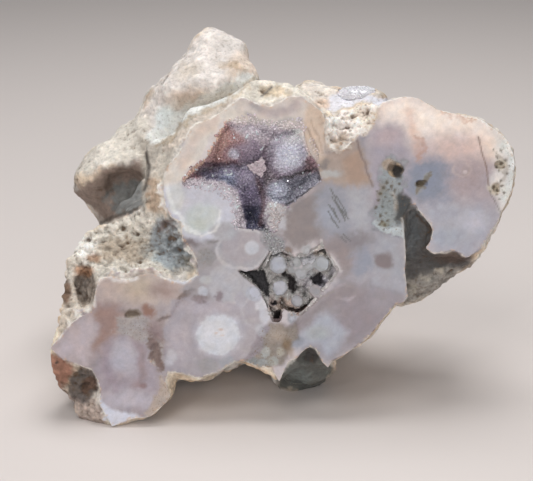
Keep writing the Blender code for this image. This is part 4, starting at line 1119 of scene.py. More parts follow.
@dataclass(frozen=True)
class PaintedFloor(Finish):
    """Board with matt paint: plain and pale."""

    name: str = "matt_painted_board"
    roughness: float = 0.7
    tone: str = "d9d1cd"

    def dress(self, tree: bpy.types.NodeTree, shader: bpy.types.Node) -> None:
        """Set the paint's colour, with the faint unevenness of a roller.

        Args:
            tree: the material's nodes.
            shader: its shader.
        """
        place = add_node(tree, "ShaderNodeTexCoord").outputs["Object"]
        roller = add_node(tree, "ShaderNodeTexNoise", {"Scale": per_metre(3.0), "Detail": 3.0},
                          {"Vector": place})
        bump = add_node(tree, "ShaderNodeBump", {"Strength": 0.05, "Distance": 0.1 * MM},
                        {"Height": roller.outputs["Fac"]})
        tree.links.new(bump.outputs["Normal"], shader.inputs["Normal"])
        shader.inputs["Base Color"].default_value = linear(self.tone)


def through_modifier(
    mesh: bpy.types.Mesh, kind: str, settings: Mapping[str, Any], weights: np.ndarray | None = None
) -> bpy.types.Mesh:
    """Run a mesh through one modifier.

    Args:
        mesh: the mesh, which is used up.
        kind: the modifier's type.
        settings: its settings.
        weights: a weight for each vertex, in a few steps, for a vertex group named weights.

    Returns:
        The new mesh.
    """
    helper = bpy.data.objects.new("helper", mesh)
    bpy.context.scene.collection.objects.link(helper)
    if weights is not None:
        group = helper.vertex_groups.new(name="weights")
        for weight in np.unique(weights):
            group.add(np.flatnonzero(weights == weight).tolist(), float(weight), "REPLACE")
    step = helper.modifiers.new("step", kind)
    for name, value in settings.items():
        setattr(step, name, value)
    seen = helper.evaluated_get(bpy.context.evaluated_depsgraph_get())
    made = bpy.data.meshes.new_from_object(seen)
    bpy.data.objects.remove(helper)
    bpy.data.meshes.remove(mesh)
    return made


def points_of(mesh: bpy.types.Mesh) -> np.ndarray:
    """Read a mesh's points.

    Args:
        mesh: the mesh.

    Returns:
        Rows of three coordinates.
    """
    flat = np.empty(len(mesh.vertices) * 3)
    mesh.vertices.foreach_get("co", flat)
    return flat.reshape(-1, 3)


def normals_of(mesh: bpy.types.Mesh) -> np.ndarray:
    """Read a mesh's vertex normals.

    Args:
        mesh: the mesh.

    Returns:
        Rows of three coordinates.
    """
    flat = np.empty(len(mesh.vertices) * 3)
    mesh.vertex_normals.foreach_get("vector", flat)
    return flat.reshape(-1, 3)


def put_layer(mesh: bpy.types.Mesh, layer: Layer, values: np.ndarray) -> None:
    """Write a painted layer to a mesh.

    Args:
        mesh: the mesh.
        layer: which layer.
        values: rows of linear red, green and blue for the colour, or one value for each point.
    """
    if layer is Layer.COLOUR:
        made = mesh.attributes.new(layer.value, "FLOAT_COLOR", "POINT")
        rows = np.column_stack([values, np.ones(len(values))])
        made.data.foreach_set("color", rows.ravel())
    else:
        made = mesh.attributes.new(layer.value, "FLOAT", "POINT")
        made.data.foreach_set("value", values)


def add_piece(name: str, mesh: bpy.types.Mesh, node: str) -> bpy.types.Object:
    """Put a finished mesh in the scene as a piece that stands for a node.

    Args:
        name: the piece's name.
        mesh: its mesh, in the face frame.
        node: the node that it stands for.

    Returns:
        The piece.
    """
    mesh.transform(face_matrix())
    mesh.name = name
    made = bpy.data.objects.new(name, mesh)
    bpy.context.scene.collection.objects.link(made)
    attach(made, "root")
    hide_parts(node)
    return made


def frame_copy(node: bpy.types.Object) -> bpy.types.Mesh:
    """Copy a node's mesh into the face frame, with its points joined.

    Args:
        node: the CAD node.

    Returns:
        The copy.
    """
    form = bmesh.new()
    form.from_mesh(node.data)
    bmesh.ops.remove_doubles(form, verts=form.verts, dist=0.002 * MM)
    form.transform(face_matrix().inverted())
    mesh = bpy.data.meshes.new("copy")
    form.to_mesh(mesh)
    form.free()
    return mesh


def relaxed(points: np.ndarray, edges: np.ndarray, weight: np.ndarray, rounds: int) -> np.ndarray:
    """Smooth points towards the mean of their neighbours.

    Args:
        points: rows of coordinates or of other values.
        edges: rows of two point numbers.
        weight: how far each point follows, from 0 to 1.
        rounds: how many times.

    Returns:
        The smoothed rows.
    """
    count = len(points)
    near = np.bincount(edges.ravel(), minlength=count)
    result = points.copy()
    for _ in range(rounds):
        sums = np.stack([
            np.bincount(edges[:, 0], result[edges[:, 1], axis], count)
            + np.bincount(edges[:, 1], result[edges[:, 0], axis], count)
            for axis in range(points.shape[1])
        ], 1)
        result += weight[:, None] * (sums / near[:, None] - result)
    return result


# The mouths of the two hollows on the face, in mm
MAIN_MOUTH: tuple[tuple[float, float], ...] = (
    (-17.7, 102.3), (-14.0, 101.3), (-10.0, 102.0), (-6.7, 100.7), (-2.3, 100.3), (5.0, 100.7), (7.3, 98.3),
    (8.0, 94.3), (11.3, 88.3), (12.3, 85.3), (13.0, 82.7), (7.7, 78.3), (2.0, 74.0), (-1.3, 75.0),
    (-4.7, 75.3), (-6.3, 70.7), (-3.3, 64.7), (-8.7, 66.3), (-15.3, 66.7), (-16.0, 68.7), (-14.7, 71.7),
    (-15.3, 77.3), (-20.7, 81.0), (-27.7, 81.3), (-32.7, 80.3), (-33.3, 82.7), (-30.3, 86.7), (-25.3, 89.7),
    (-22.0, 94.7), (-21.3, 98.0),
)
LOWER_MOUTH: tuple[tuple[float, float], ...] = tuple(on_face(x, y) for x, y in (
    (235, 268), (245, 272), (258, 269), (268, 255), (272, 247), (283, 250), (293, 256), (315, 248),
    (322, 243), (326, 252), (333, 260), (338, 270), (333, 278), (318, 298), (308, 308), (300, 315),
    (290, 313), (283, 308), (280, 322), (272, 322), (266, 304), (258, 288), (245, 278),
))


def edges_of(mesh: bpy.types.Mesh) -> np.ndarray:
    """Read a mesh's edges.

    Args:
        mesh: the mesh.

    Returns:
        Rows of two point numbers.
    """
    flat = np.empty(len(mesh.edges) * 2, np.int64)
    mesh.edges.foreach_get("vertices", flat)
    return flat.reshape(-1, 2)


def triangles_of(mesh: bpy.types.Mesh) -> np.ndarray:
    """Read the faces of a mesh that has only triangles.

    Args:
        mesh: the mesh.

    Returns:
        Rows of three point numbers.
    """
    flat = np.empty(len(mesh.polygons) * 3, np.int64)
    mesh.polygons.foreach_get("vertices", flat)
    return flat.reshape(-1, 3)


def dome(spot: Vector) -> float:
    """Give the height of round knobs at a spot, from 0 between them to 1."""
    return 1.0 - min(1.0, noise.voronoi(spot)[0][0] / 0.9) ** 2


def ground(tone: str, count: int) -> np.ndarray:
    """Give rows of one colour to paint on."""
    return np.tile(np.asarray(linear(tone)[:3]), (count, 1))


def mixed(colours: np.ndarray, tone: str, share: np.ndarray) -> np.ndarray:
    """Mix a tone into rows of colours, by a share for each."""
    return colours + share[:, None] * (np.asarray(linear(tone)[:3]) - colours)


@dataclass
class Stone:
    """The grown stone: its polished face and its rind, in two pieces that meet where nobody sees it.

    Attributes:
        node: the CAD node that it stands for.
        grain: size of the skin's squares, in mm.
        most: how many triangles each piece may have.
        flat: how far behind the face a point still belongs to it, in mm.
        parting: height of the plane where the two pieces meet, in mm.
        margin: how far inside the CAD model's box the skin stays, in metres.
        wall_tone: ground colour of the hollows' walls.
        face_tone: ground colour of the polished face.
        rind_tone: ground colour of the rind.
    """

    node: bpy.types.Object
    grain: float = 0.45
    most: int = 190_000
    flat: float = 0.25
    parting: float = -21.0
    margin: float = 0.00001
    wall_tone: str = "b5aca8"
    face_tone: str = "b5aaac"
    rind_tone: str = "cfc9c2"

    def build(self) -> list[bpy.types.Object]:
        """Build the stone and dress it.

        Returns:
            Its two pieces.
        """
        mesh = through_modifier(frame_copy(self.node), "REMESH", {"mode": "VOXEL", "voxel_size": self.grain})
        log.info("stone: skin of %d squares", len(mesh.polygons))
        self.weather(mesh)
        finishes = [finish.make() for finish in (PolishedChalcedony(), WeatheredRind())]
        made = []
        for name, side in (("stone_front", 1.0), ("stone_back", -1.0)):
            part = self.thinned(self.parted(mesh, side))
            self.paint(part)
            for finish in finishes:
                part.materials.append(finish)
            self.sort_faces(part)
            made.append(add_piece(name, part, self.node.name))
        bpy.data.meshes.remove(mesh)
        return made

    def hollowed(self, points: np.ndarray) -> np.ndarray:
        """Tell which points are on the walls of the two hollows.

        Args:
            points: rows of u, v and n.

        Returns:
            True for each point that is.
        """
        deep = np.flatnonzero((points[:, 2] < -self.flat) & (points[:, 2] > -26.0))
        flat = points[deep, :2]
        result = np.zeros(len(points), bool)
        away = np.minimum(outline_distance(flat, MAIN_MOUTH), outline_distance(flat, LOWER_MOUTH))
        result[deep] = away < 0.35
        return result

    def heights(self, points: np.ndarray) -> np.ndarray:
        """Give the height of each point above the ground, in mm."""
        lean = math.radians(FACE_LEAN)
        return points[:, 1] * math.cos(lean) + points[:, 2] * math.sin(lean)

    def weather(self, mesh: bpy.types.Mesh) -> None:
        """Round the rind and give it lumps, knobs, gravel, pits and grain.

        Args:
            mesh: the skin, changed in place.
        """
        points = points_of(mesh)
        points[points[:, 2] > -self.flat, 2] = 0.0
        hollow = self.hollowed(points)
        high = self.heights(points)
        rind = smooth_step(0.5, 1.6, -points[:, 2]) * ~hollow * smooth_step(0.4, 2.0, high)
        near = np.flatnonzero((points[:, 2] > -3.0) & ~hollow)
        dish = Disc("dish", "000000", 4, at=(388, 207), size=(14, 22)).cover(seen_points(points[near]), 0.0)
        loose = rind.copy()
        loose[near] = np.maximum(loose[near], dish)
        points = relaxed(points, edges_of(mesh), loose * 0.6, 40)
        mesh.vertices.foreach_set("co", points.ravel())
        mesh.update()
        normals = normals_of(mesh)
        smooth, crumbly = self.rind_kinds(points, normals)
        knobby = smooth_step(-0.25, 0.25, cloud(points + 40.0, 22.0, 2))
        crumbs = sampled(points * (0.6, 1.0, 1.0), 2.2, lambda spot: noise.turbulence(spot, 3, False))
        height = (1.0 - 0.92 * smooth) * (
            0.5 * cloud(points, 12.0, 3)
            + 0.5 * (sampled(points, 4.4, dome) - 0.6) * knobby
            + 0.26 * (sampled(points, 1.8, dome) - 0.5)
            - (0.4 + 0.9 * crumbly) * (crumbs - 0.45)
            - (0.25 + 0.7 * crumbly) * sampled(points, 2.9, self.pit)
            + 0.16 * cloud(points, 0.95, 2)
        )
        relief = np.where(hollow, 0.0, rind * height)
        points = points + normals * relief[:, None]
        top = np.flatnonzero(points[:, 2] > -0.3)
        spots = seen_points(points[top])
        chalk = self.chalk(spots, wandering(spots)) * smooth_step(0.3, 0.0, -points[top, 2])
        points[top, 2] += chalk * np.minimum(0.0, 0.3 * cloud(points[top] + 9.0, 1.5, 3) - 0.16)
        points = self.in_box(points)
        mesh.vertices.foreach_set("co", points.ravel())
        put_layer(mesh, Layer.RELIEF, np.clip(0.5 + 0.8 * relief, 0.0, 1.0))
        mesh.update()

    def rind_kinds(self, points: np.ndarray, normals: np.ndarray) -> tuple[np.ndarray, np.ndarray]:
        """Tell how smooth and how crumbly the rind is at each point.

        Args:
            points: rows of u, v and n.
            normals: the skin's normals there.

        Returns:
            Two values from 0 to 1 for each point.
        """
        smooth = np.zeros(len(points))
        crumbly = 0.6 * smooth_step(0.1, 0.5, cloud(points + 90.0, 16.0, 2))
        ahead = np.flatnonzero((normals[:, 2] > -0.2) & (points[:, 2] < -0.2))
        spots = seen_points(points[ahead])
        drift = wandering(spots)
        seen = np.zeros(len(ahead))
        for mark in RIND_MARKS:
            if mark.name in SMOOTH_RIND | CALM_RIND:
                share = 1.0 if mark.name in SMOOTH_RIND else 0.45
                smooth[ahead] = np.maximum(smooth[ahead], share * mark.cover(spots, drift))
            elif mark.name in CRUMBLY_RIND:
                seen = np.maximum(seen, mark.cover(spots, drift))
        calm = smooth_step(0.0, 0.5, normals[ahead, 2])
        crumbly[ahead] += calm * (seen - crumbly[ahead])
        return smooth, crumbly

    @staticmethod
    def pit(spot: Vector) -> float:
        """Give the depth of the pits. Only some cells of the noise hold one.

        Args:
            spot: where to read it.

        Returns:
            A value from 0 to 1.
        """
        distances, centres = noise.voronoi(spot)
        if noise.cell(centres[0] * 7.3) > 0.42:
            return 0.0
        return max(0.0, 1.0 - distances[0] / 0.42) ** 0.6

    @staticmethod
    def chalk(spots: np.ndarray, drift: np.ndarray) -> np.ndarray:
        """Tell how chalky the face is.

        Args:
            spots: rows of x and y.
            drift: rows of two noise values.

        Returns:
            A value from 0 to 1 for each spot.
        """
        chalk = np.zeros(len(spots))
        for mark in CHALK_MARKS:
            chalk = np.maximum(chalk, mark.cover(spots, drift))
        return chalk

    def in_box(self, points: np.ndarray) -> np.ndarray:
        """Keep points inside the box of the CAD model and behind the plane of the face.

        Args:
            points: rows of u, v and n.

        Returns:
            The points, moved where needed.
        """
        matrix = np.asarray(face_matrix())
        placed = points @ matrix[:3, :3].T + matrix[:3, 3]
        low, high = (np.asarray(corner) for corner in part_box(self.node.name))
        placed = np.clip(placed, low + self.margin, high - self.margin)
        back = np.linalg.inv(matrix)
        kept = placed @ back[:3, :3].T + back[:3, 3]
        kept[:, 2] = np.minimum(kept[:, 2], 0.0)
        return kept

    def parted(self, mesh: bpy.types.Mesh, side: float) -> bpy.types.Mesh:
        """Copy what lies on one side of the parting plane, and close the cut.

        Args:
            mesh: the whole skin.
            side: 1 for the front and -1 for the back.

        Returns:
            The closed copy.
        """
        form = bmesh.new()
        form.from_mesh(mesh)
        bmesh.ops.bisect_plane(
            form, geom=[*form.verts, *form.edges, *form.faces], dist=0.0001,
            plane_co=(0.0, 0.0, self.parting), plane_no=(0.0, 0.0, side), clear_inner=True,
        )
        bmesh.ops.holes_fill(form, edges=[edge for edge in form.edges if edge.is_boundary])
        made = bpy.data.meshes.new("part")
        form.to_mesh(made)
        form.free()
        return made

    def thinned(self, mesh: bpy.types.Mesh) -> bpy.types.Mesh:
        """Take triangles off the rind. The face and the cut keep theirs.

        Args:
            mesh: one closed piece.

        Returns:
            The thinned mesh.
        """
        points = points_of(mesh)
        weights = np.where(normals_of(mesh)[:, 2] > 0.0, 0.98, 1.0)
        weights[points[:, 2] > -0.3] = 0.0
        weights[np.abs(points[:, 2] - self.parting) < 0.6] = 0.0
        triangles = len(mesh.loops) - 2 * len(mesh.polygons)
        ratio = min(1.0, self.most / triangles)
        made = through_modifier(mesh, "DECIMATE", {"ratio": ratio, "vertex_group": "weights"}, weights)
        made = through_modifier(made, "TRIANGULATE", {})
        made.vertices.foreach_set("co", self.in_box(points_of(made)).ravel())
        log.info("stone: %d of %d triangles kept", len(made.polygons), triangles)
        return made

    def paint(self, mesh: bpy.types.Mesh) -> None:
        """Paint the agate of the face, the hollows' walls and the rind.

        Args:
            mesh: the piece's mesh.
        """
        points = points_of(mesh)
        normals = normals_of(mesh)
        spots = seen_points(points)
        count = len(points)
        hollow = self.hollowed(points)
        colours = self.rind_colours(mesh, points, normals, spots)
        walls = np.flatnonzero(hollow)
        grey = ground(self.wall_tone, len(walls))
        colours[walls] = painted(grey, spots[walls], (*DRUSE_MARKS, *KNOB_MARKS, *VOIDS))
        top = np.flatnonzero(~hollow & (points[:, 2] > -1.2))
        face = ground(self.face_tone, len(top))
        face = painted(face, spots[top], (*FACE_MARKS, *PIT_MARKS, *self.fine_marks()))
        face = self.agate_grain(face, spots[top])
        band = self.edge_band(mesh, points, hollow)[top]
        deep = np.column_stack([spots[top], np.zeros(len(top))])
        rust = smooth_step(0.1, 0.5, cloud(deep + 77.0, 3.0, 3)) * smooth_step(0.01, 0.08, band)
        face = mixed(face, "c9a27c", 0.55 * rust)
        # Near the rind the face is painted paler in patches: partly the whitish crust of the edge, partly a
        # painted highlight of its bright rim.
        pale = smooth_step(-0.5, 0.2, cloud(deep + 17.0, 9.0, 3))
        face = mixed(face, "efe9e1", pale * smooth_step(0.08, 0.4, band))
        share = smooth_step(-1.1, -0.4, points[top, 2])[:, None]
        colours[top] += share * (face - colours[top])
        chalk = np.zeros(count)
        chalk[top] = self.chalk(spots[top], wandering(spots[top]))
        put_layer(mesh, Layer.COLOUR, np.clip(colours, 0.0, 1.0))
        put_layer(mesh, Layer.CHALK, chalk)

    def rind_colours(
        self, mesh: bpy.types.Mesh, points: np.ndarray, normals: np.ndarray, spots: np.ndarray
    ) -> np.ndarray:
        """Colour the rind: its ground, what the camera sees of it, whiter crests and browner dips.

        Args:
            mesh: the piece's mesh.
            points: its points.
            normals: its normals.
            spots: where the camera sees the points.

        Returns:
            Rows of linear red, green and blue.
        """
        warmth = smooth_step(-0.35, 0.35, cloud(points, 16.0, 3))
        colours = mixed(ground(self.rind_tone, len(points)), "d9c9b4", warmth)
        colours = mixed(colours, "b8946c", 0.5 * smooth_step(0.05, 0.55, cloud(points + 70.0, 9.0, 4)))
        colours *= 1.0 + 0.13 * cloud(points + 33.0, 3.4, 3)[:, None]
        ahead = np.flatnonzero((normals[:, 2] > -0.6) & (points[:, 2] < -0.2))
        facing = smooth_step(-0.6, -0.25, normals[ahead, 2])[:, None]
        seen = painted(colours[ahead], spots[ahead], RIND_MARKS)
        seen *= 1.0 + 0.16 * cloud(points[ahead] + 61.0, 2.6, 3)[:, None]
        colours[ahead] += facing * (seen - colours[ahead])
        relief = np.empty(len(points))
        mesh.attributes[Layer.RELIEF.value].data.foreach_get("value", relief)
        colours = colours * (1.0 + 0.4 * smooth_step(0.58, 0.95, relief))[:, None]
        colours = mixed(colours, "57402d", 0.85 * smooth_step(0.44, 0.1, relief))
        smooth, crumbly = self.rind_kinds(points, normals)
        dust = cloud(points + 19.0, 0.9, 2)
        colours *= (1.0 + (0.12 + 0.2 * crumbly) * (1.0 - smooth) * dust)[:, None]
        grit = smooth_step(0.25, 0.7, cloud(points + 45.0, 1.2, 2))
        colours = mixed(colours, "65503a", 0.65 * crumbly * grit)
        pits = painted(colours[ahead], spots[ahead], PIT_MARKS)
        colours[ahead] += facing * (pits - colours[ahead])
        return colours

    @staticmethod
    def agate_grain(colours: np.ndarray, spots: np.ndarray) -> np.ndarray:
        """Give the painted agate its milky clouds, warm and cool veils and fine growth bands.

        Args:
            colours: rows of linear red, green and blue.
            spots: where the camera sees them.

        Returns:
            The colours with their grain.
        """
        deep = np.column_stack([spots, np.zeros(len(spots))])
        milky = cloud(deep, 7.0, 4)
        warm = cloud(deep + 51.0, 11.0, 4)
        ripples = cloud(deep + 23.0, 26.0, 2)
        bands = np.zeros(len(spots))
        for x, y, reach in GROWTH_CENTRES:
            away = np.linalg.norm(spots - (x, y), axis=1)
            wave = np.sin(away * 2 * math.pi / 3.6 + 5.0 * ripples)
            bands += wave * np.exp(-((away / reach) ** 2))
        tint = np.stack([1.0 + 0.035 * warm, np.ones(len(spots)), 1.0 - 0.045 * warm], 1)
        return colours * tint * (1.0 + 0.1 * milky + 0.022 * bands)[:, None]

    @staticmethod
    def edge_band(mesh: bpy.types.Mesh, points: np.ndarray, hollow: np.ndarray) -> np.ndarray:
        """Tell how near each point of the face is to the rind.

        Args:
            mesh: the piece's mesh.
            points: its points.
            hollow: which of them are on the hollows' walls.

        Returns:
            A value from 0 to 1 for each point.
        """
        start = (points[:, 2] < -0.5) & ~hollow
        near = np.flatnonzero(start & (points[:, 2] > -8.0))
        spots = seen_points(points[near])
        drift = np.zeros((len(near), 2))
        quiet = [mark for mark in FACE_MARKS if mark.name in QUIET_MARKS]
        in_pit = np.maximum.reduce([mark.cover(spots, drift) for mark in (*PIT_MARKS, *quiet)])
        start[near[in_pit > 0.1]] = False
        return relaxed(start[:, None].astype(float), edges_of(mesh), np.ones(len(points)), 3)[:, 0]

    @staticmethod
    def fine_marks() -> tuple[Mark, ...]:
        """Make the marks of the sawn stalactites and of the dendrites' needles.

        Returns:
            The marks, the lowest first.
        """
        marks: list[Mark] = []
        for middle, radius, rim, heart in STALACTITES:
            size, inner = (radius + 0.5, radius + 0.5), (radius - 2.0, radius - 2.0)
            marks.append(Disc("stalactite rim", rim, 2, 1, 1.5, at=middle, size=size))
            marks.append(Disc("stalactite heart", heart, 3, 1, 3, at=middle, size=inner))
            marks.append(Ring("stalactite seam", "6f6d69", 1.6, 0.5, 3, at=middle, size=inner, width=1.0))
        for start, end in DENDRITES:
            marks.append(Streak("dendrite needle", "272422", 1.0, 0.9, 0.7, line=(start, end), width=1.3))
        return tuple(marks)

    def sort_faces(self, mesh: bpy.types.Mesh) -> None:
        """Give the face the polish and all else the rind's finish, and keep the cut flat.

        Args:
            mesh: the piece's mesh.
        """
        points = points_of(mesh)
        corners = triangles_of(mesh)
        below = (points[:, 2] < -0.45)[corners].sum(1) >= 2
        mesh.polygons.foreach_set("material_index", below.astype(np.int32))
        cut = (np.abs(points[:, 2] - self.parting) < 0.002)[corners].all(1)
        mesh.polygons.foreach_set("use_smooth", ~cut)


@dataclass
class PointCrop:
    """A crop of six-sided quartz points that grow from a skin.

    Attributes:
        spacing: distance from point to point, in mm.
        radius: their radius, in mm.
        length: their length, in mm.
        lean: how far they lean away from the skin's normal.
        seed: start of the random draws.
    """

    spacing: float = 0.75
    radius: float = 0.42
    length: float = 0.8
    lean: float = 0.35
    seed: int = SEED

    def grow(self, points: np.ndarray, triangles: np.ndarray) -> tuple[np.ndarray, list[list[int]]]:
        """Grow the points.

        Args:
            points: the skin's points.
            triangles: its triangles, as rows of three point numbers.

        Returns:
            The points and faces of the crop.
        """
        draw = np.random.RandomState(self.seed)
        a, b, c = (points[triangles[:, corner]] for corner in range(3))
        cross = np.cross(b - a, c - a)
        area = np.linalg.norm(cross, axis=1) / 2
        count = int(area.sum() / self.spacing**2)
        at = draw.choice(len(triangles), count, p=area / area.sum())
        first, second = draw.rand(count, 1), draw.rand(count, 1)
        over = first + second > 1
        first, second = np.where(over, 1 - first, first), np.where(over, 1 - second, second)
        feet = a[at] + first * (b[at] - a[at]) + second * (c[at] - a[at])
        normal = cross[at] / (2 * area[at])[:, None]
        axis = normal + self.lean * draw.randn(count, 3)
        axis /= np.linalg.norm(axis, axis=1)[:, None]
        side = np.cross(axis, np.where(np.abs(axis[:, :1]) < 0.7, (1.0, 0, 0), (0, 1.0, 0)))
        side /= np.linalg.norm(side, axis=1)[:, None]
        other = np.cross(axis, side)
        size = draw.uniform(0.55, 1.35, (count, 1))
        length = self.length * size * draw.uniform(0.7, 1.2, (count, 1))
        turn = draw.rand(count, 1) * math.pi
        angles = turn + np.arange(6) * math.pi / 3
        ring = (
            np.cos(angles)[:, :, None] * side[:, None, :] + np.sin(angles)[:, :, None] * other[:, None, :]
        ) * (self.radius * size)[:, :, None]
        foot = feet[:, None, :] - 0.3 * self.length * axis[:, None, :]
        shoulder = feet[:, None, :] + (0.45 * length * axis)[:, None, :]
        tip = feet + length * axis + 0.12 * self.radius * draw.randn(count, 3)
        bodies = np.concatenate([foot + ring, shoulder + ring, tip[:, None, :]], 1)
        faces: list[list[int]] = []
        for start in range(0, count * CRYSTAL_CORNERS, CRYSTAL_CORNERS):
            for near in range(6):
                far = (near + 1) % 6
                faces.append([start + near, start + far, start + 6 + far, start + 6 + near])
                faces.append([start + 6 + near, start + 6 + far, start + 12])
            faces.append([start + corner for corner in range(5, -1, -1)])
        return bodies.reshape(-1, 3), faces


@dataclass
class Bed:
    """A closed crust under a height field, clipped to an outline on the face.

    Attributes:
        mouth: the outline, in mm.
        step: the size of its squares, in mm.
        thick: how thick it is, in mm.
        under: how far it reaches under the rim of the mouth, in mm.
    """

    mouth: tuple[tuple[float, float], ...]
    step: float = 0.5
    thick: float = 0.9
    under: float = 0.6

    def skin(self, depth: Callable[[np.ndarray], np.ndarray]) -> tuple[np.ndarray, np.ndarray, int]:
        """Make the crust.

        Args:
            depth: gives the depth behind the face at rows of u and v.

        Returns:
            The crust's points, all its triangles, and how many of them are on top.
        """
        corners = np.asarray(self.mouth)
        low, high = corners.min(0) - self.under - self.step, corners.max(0) + self.under + self.step
        us = np.arange(low[0], high[0], self.step)
        vs = np.arange(low[1], high[1], self.step)
        grid = np.stack(np.meshgrid(us, vs, indexing="ij"), -1).reshape(-1, 2)
        inside = outline_distance(grid, self.mouth) < self.under
        width = len(vs)
        cell = (np.arange(len(us) - 1)[:, None] * width + np.arange(width - 1)[None, :]).ravel()
        quads = np.stack([cell, cell + width, cell + width + 1, cell + 1], 1)
        quads = quads[inside[quads].all(1)]
        used, numbers = np.unique(quads, return_inverse=True)
        quads = numbers.reshape(-1, 4)
        flat = grid[used]
        deep = depth(flat)
        top = np.column_stack([flat, -deep])
        base = np.column_stack([flat, -deep - self.thick])
        count = len(flat)
        upper = np.concatenate([quads[:, [0, 1, 2]], quads[:, [0, 2, 3]]])
        lower = upper[:, ::-1] + count
        sides = np.concatenate([quads[:, [k, (k + 1) % 4]] for k in range(4)])
        keys = {tuple(side) for side in sides.tolist()}
        border = np.array([side for side in keys if side[::-1] not in keys])
        border = border[np.lexsort(border.T)]
        walls = np.concatenate([
            np.stack([border[:, 1], border[:, 0], border[:, 0] + count], 1),
            np.stack([border[:, 1], border[:, 0] + count, border[:, 1] + count], 1),
        ])
        return np.concatenate([top, base]), np.concatenate([upper, lower, walls]), len(upper)


def placed(outline: Sequence[tuple[float, float]]) -> tuple[tuple[float, float], ...]:
    """Turn an outline in points of the picture into one on the face, in mm."""
    return tuple(on_face(x, y) for x, y in outline)


def joined(beds: Sequence[tuple[np.ndarray, np.ndarray, int]]) -> tuple[np.ndarray, np.ndarray, int]:
    """Join crusts.

    Args:
        beds: the points, the triangles and the number of triangles that carry crystals, of each.

    Returns:
        The same for all of them, with the triangles that carry crystals first.
    """
    starts = np.cumsum([0, *(len(points) for points, _, _ in beds[:-1])])
    bearing = [triangles[:count] + start for (_, triangles, count), start in zip(beds, starts)]
    bare = [triangles[count:] + start for (_, triangles, count), start in zip(beds, starts)]
    points = np.concatenate([points for points, _, _ in beds])
    return points, np.concatenate([*bearing, *bare]), sum(len(part) for part in bearing)


@dataclass
class Druse(ABC):
    """A crust of crystals in a hollow.

    Attributes:
        piece: the name of the finished piece.
        node: the name of the CAD node that it stands for.
        slot: its material slot; not used.
        finish: its finish.
        ground: sRGB hex colour of the crust.
        marks: the marks painted on it.
        crop: the points that grow on it.
    """

    piece: str
    node: str
    slot: Material
    finish: GrownDruse
    ground: str
    marks: tuple[Mark, ...]
    crop: PointCrop

    @abstractmethod
    def skin(self) -> tuple[np.ndarray, np.ndarray, int]:
        """Make the crust: its points, its triangles, and how many of these carry crystals."""

    def finish_paint(self, points: np.ndarray, colours: np.ndarray, start: int) -> None:
        """Change the painted colours in place, where a hollow has something of its own.

        Args:
            points: all points of the piece.
            colours: their colours.
            start: number of the first point that belongs to a crystal.
        """

    def build(self) -> list[bpy.types.Object]:
        """Build the crust with its crystals and paint it.

        Returns:
            The finished piece, in a list.
        """
        points, triangles, bearing = self.skin()
        crystals, faces = self.crop.grow(points, triangles[:bearing])
        joined = np.concatenate([points, crystals])
        start = len(points)
        polygons = triangles.tolist() + [[start + corner for corner in face] for face in faces]
        mesh = bpy.data.meshes.new(self.piece)
        mesh.from_pydata(joined.tolist(), [], polygons)
        smooth = np.zeros(len(polygons), bool)
        smooth[: len(triangles)] = True
        mesh.polygons.foreach_set("use_smooth", smooth)
        colours = painted(ground(self.ground, len(joined)), seen_points(joined), self.marks)
        colours[:start] *= 0.9
        draw = np.random.RandomState(self.crop.seed + 1)
        count = len(crystals) // CRYSTAL_CORNERS
        shade = np.repeat(draw.uniform(0.8, 1.25, count), CRYSTAL_CORNERS)
        colours[start:] *= shade[:, None]
        self.finish_paint(joined, colours, start)
        put_layer(mesh, Layer.COLOUR, np.clip(colours, 0.0, 1.0))
        mesh.materials.append(self.finish.make())
        made = add_piece(self.piece, mesh, self.node)
        log.info("%s: %d crystals", self.piece, count)
        return [made]


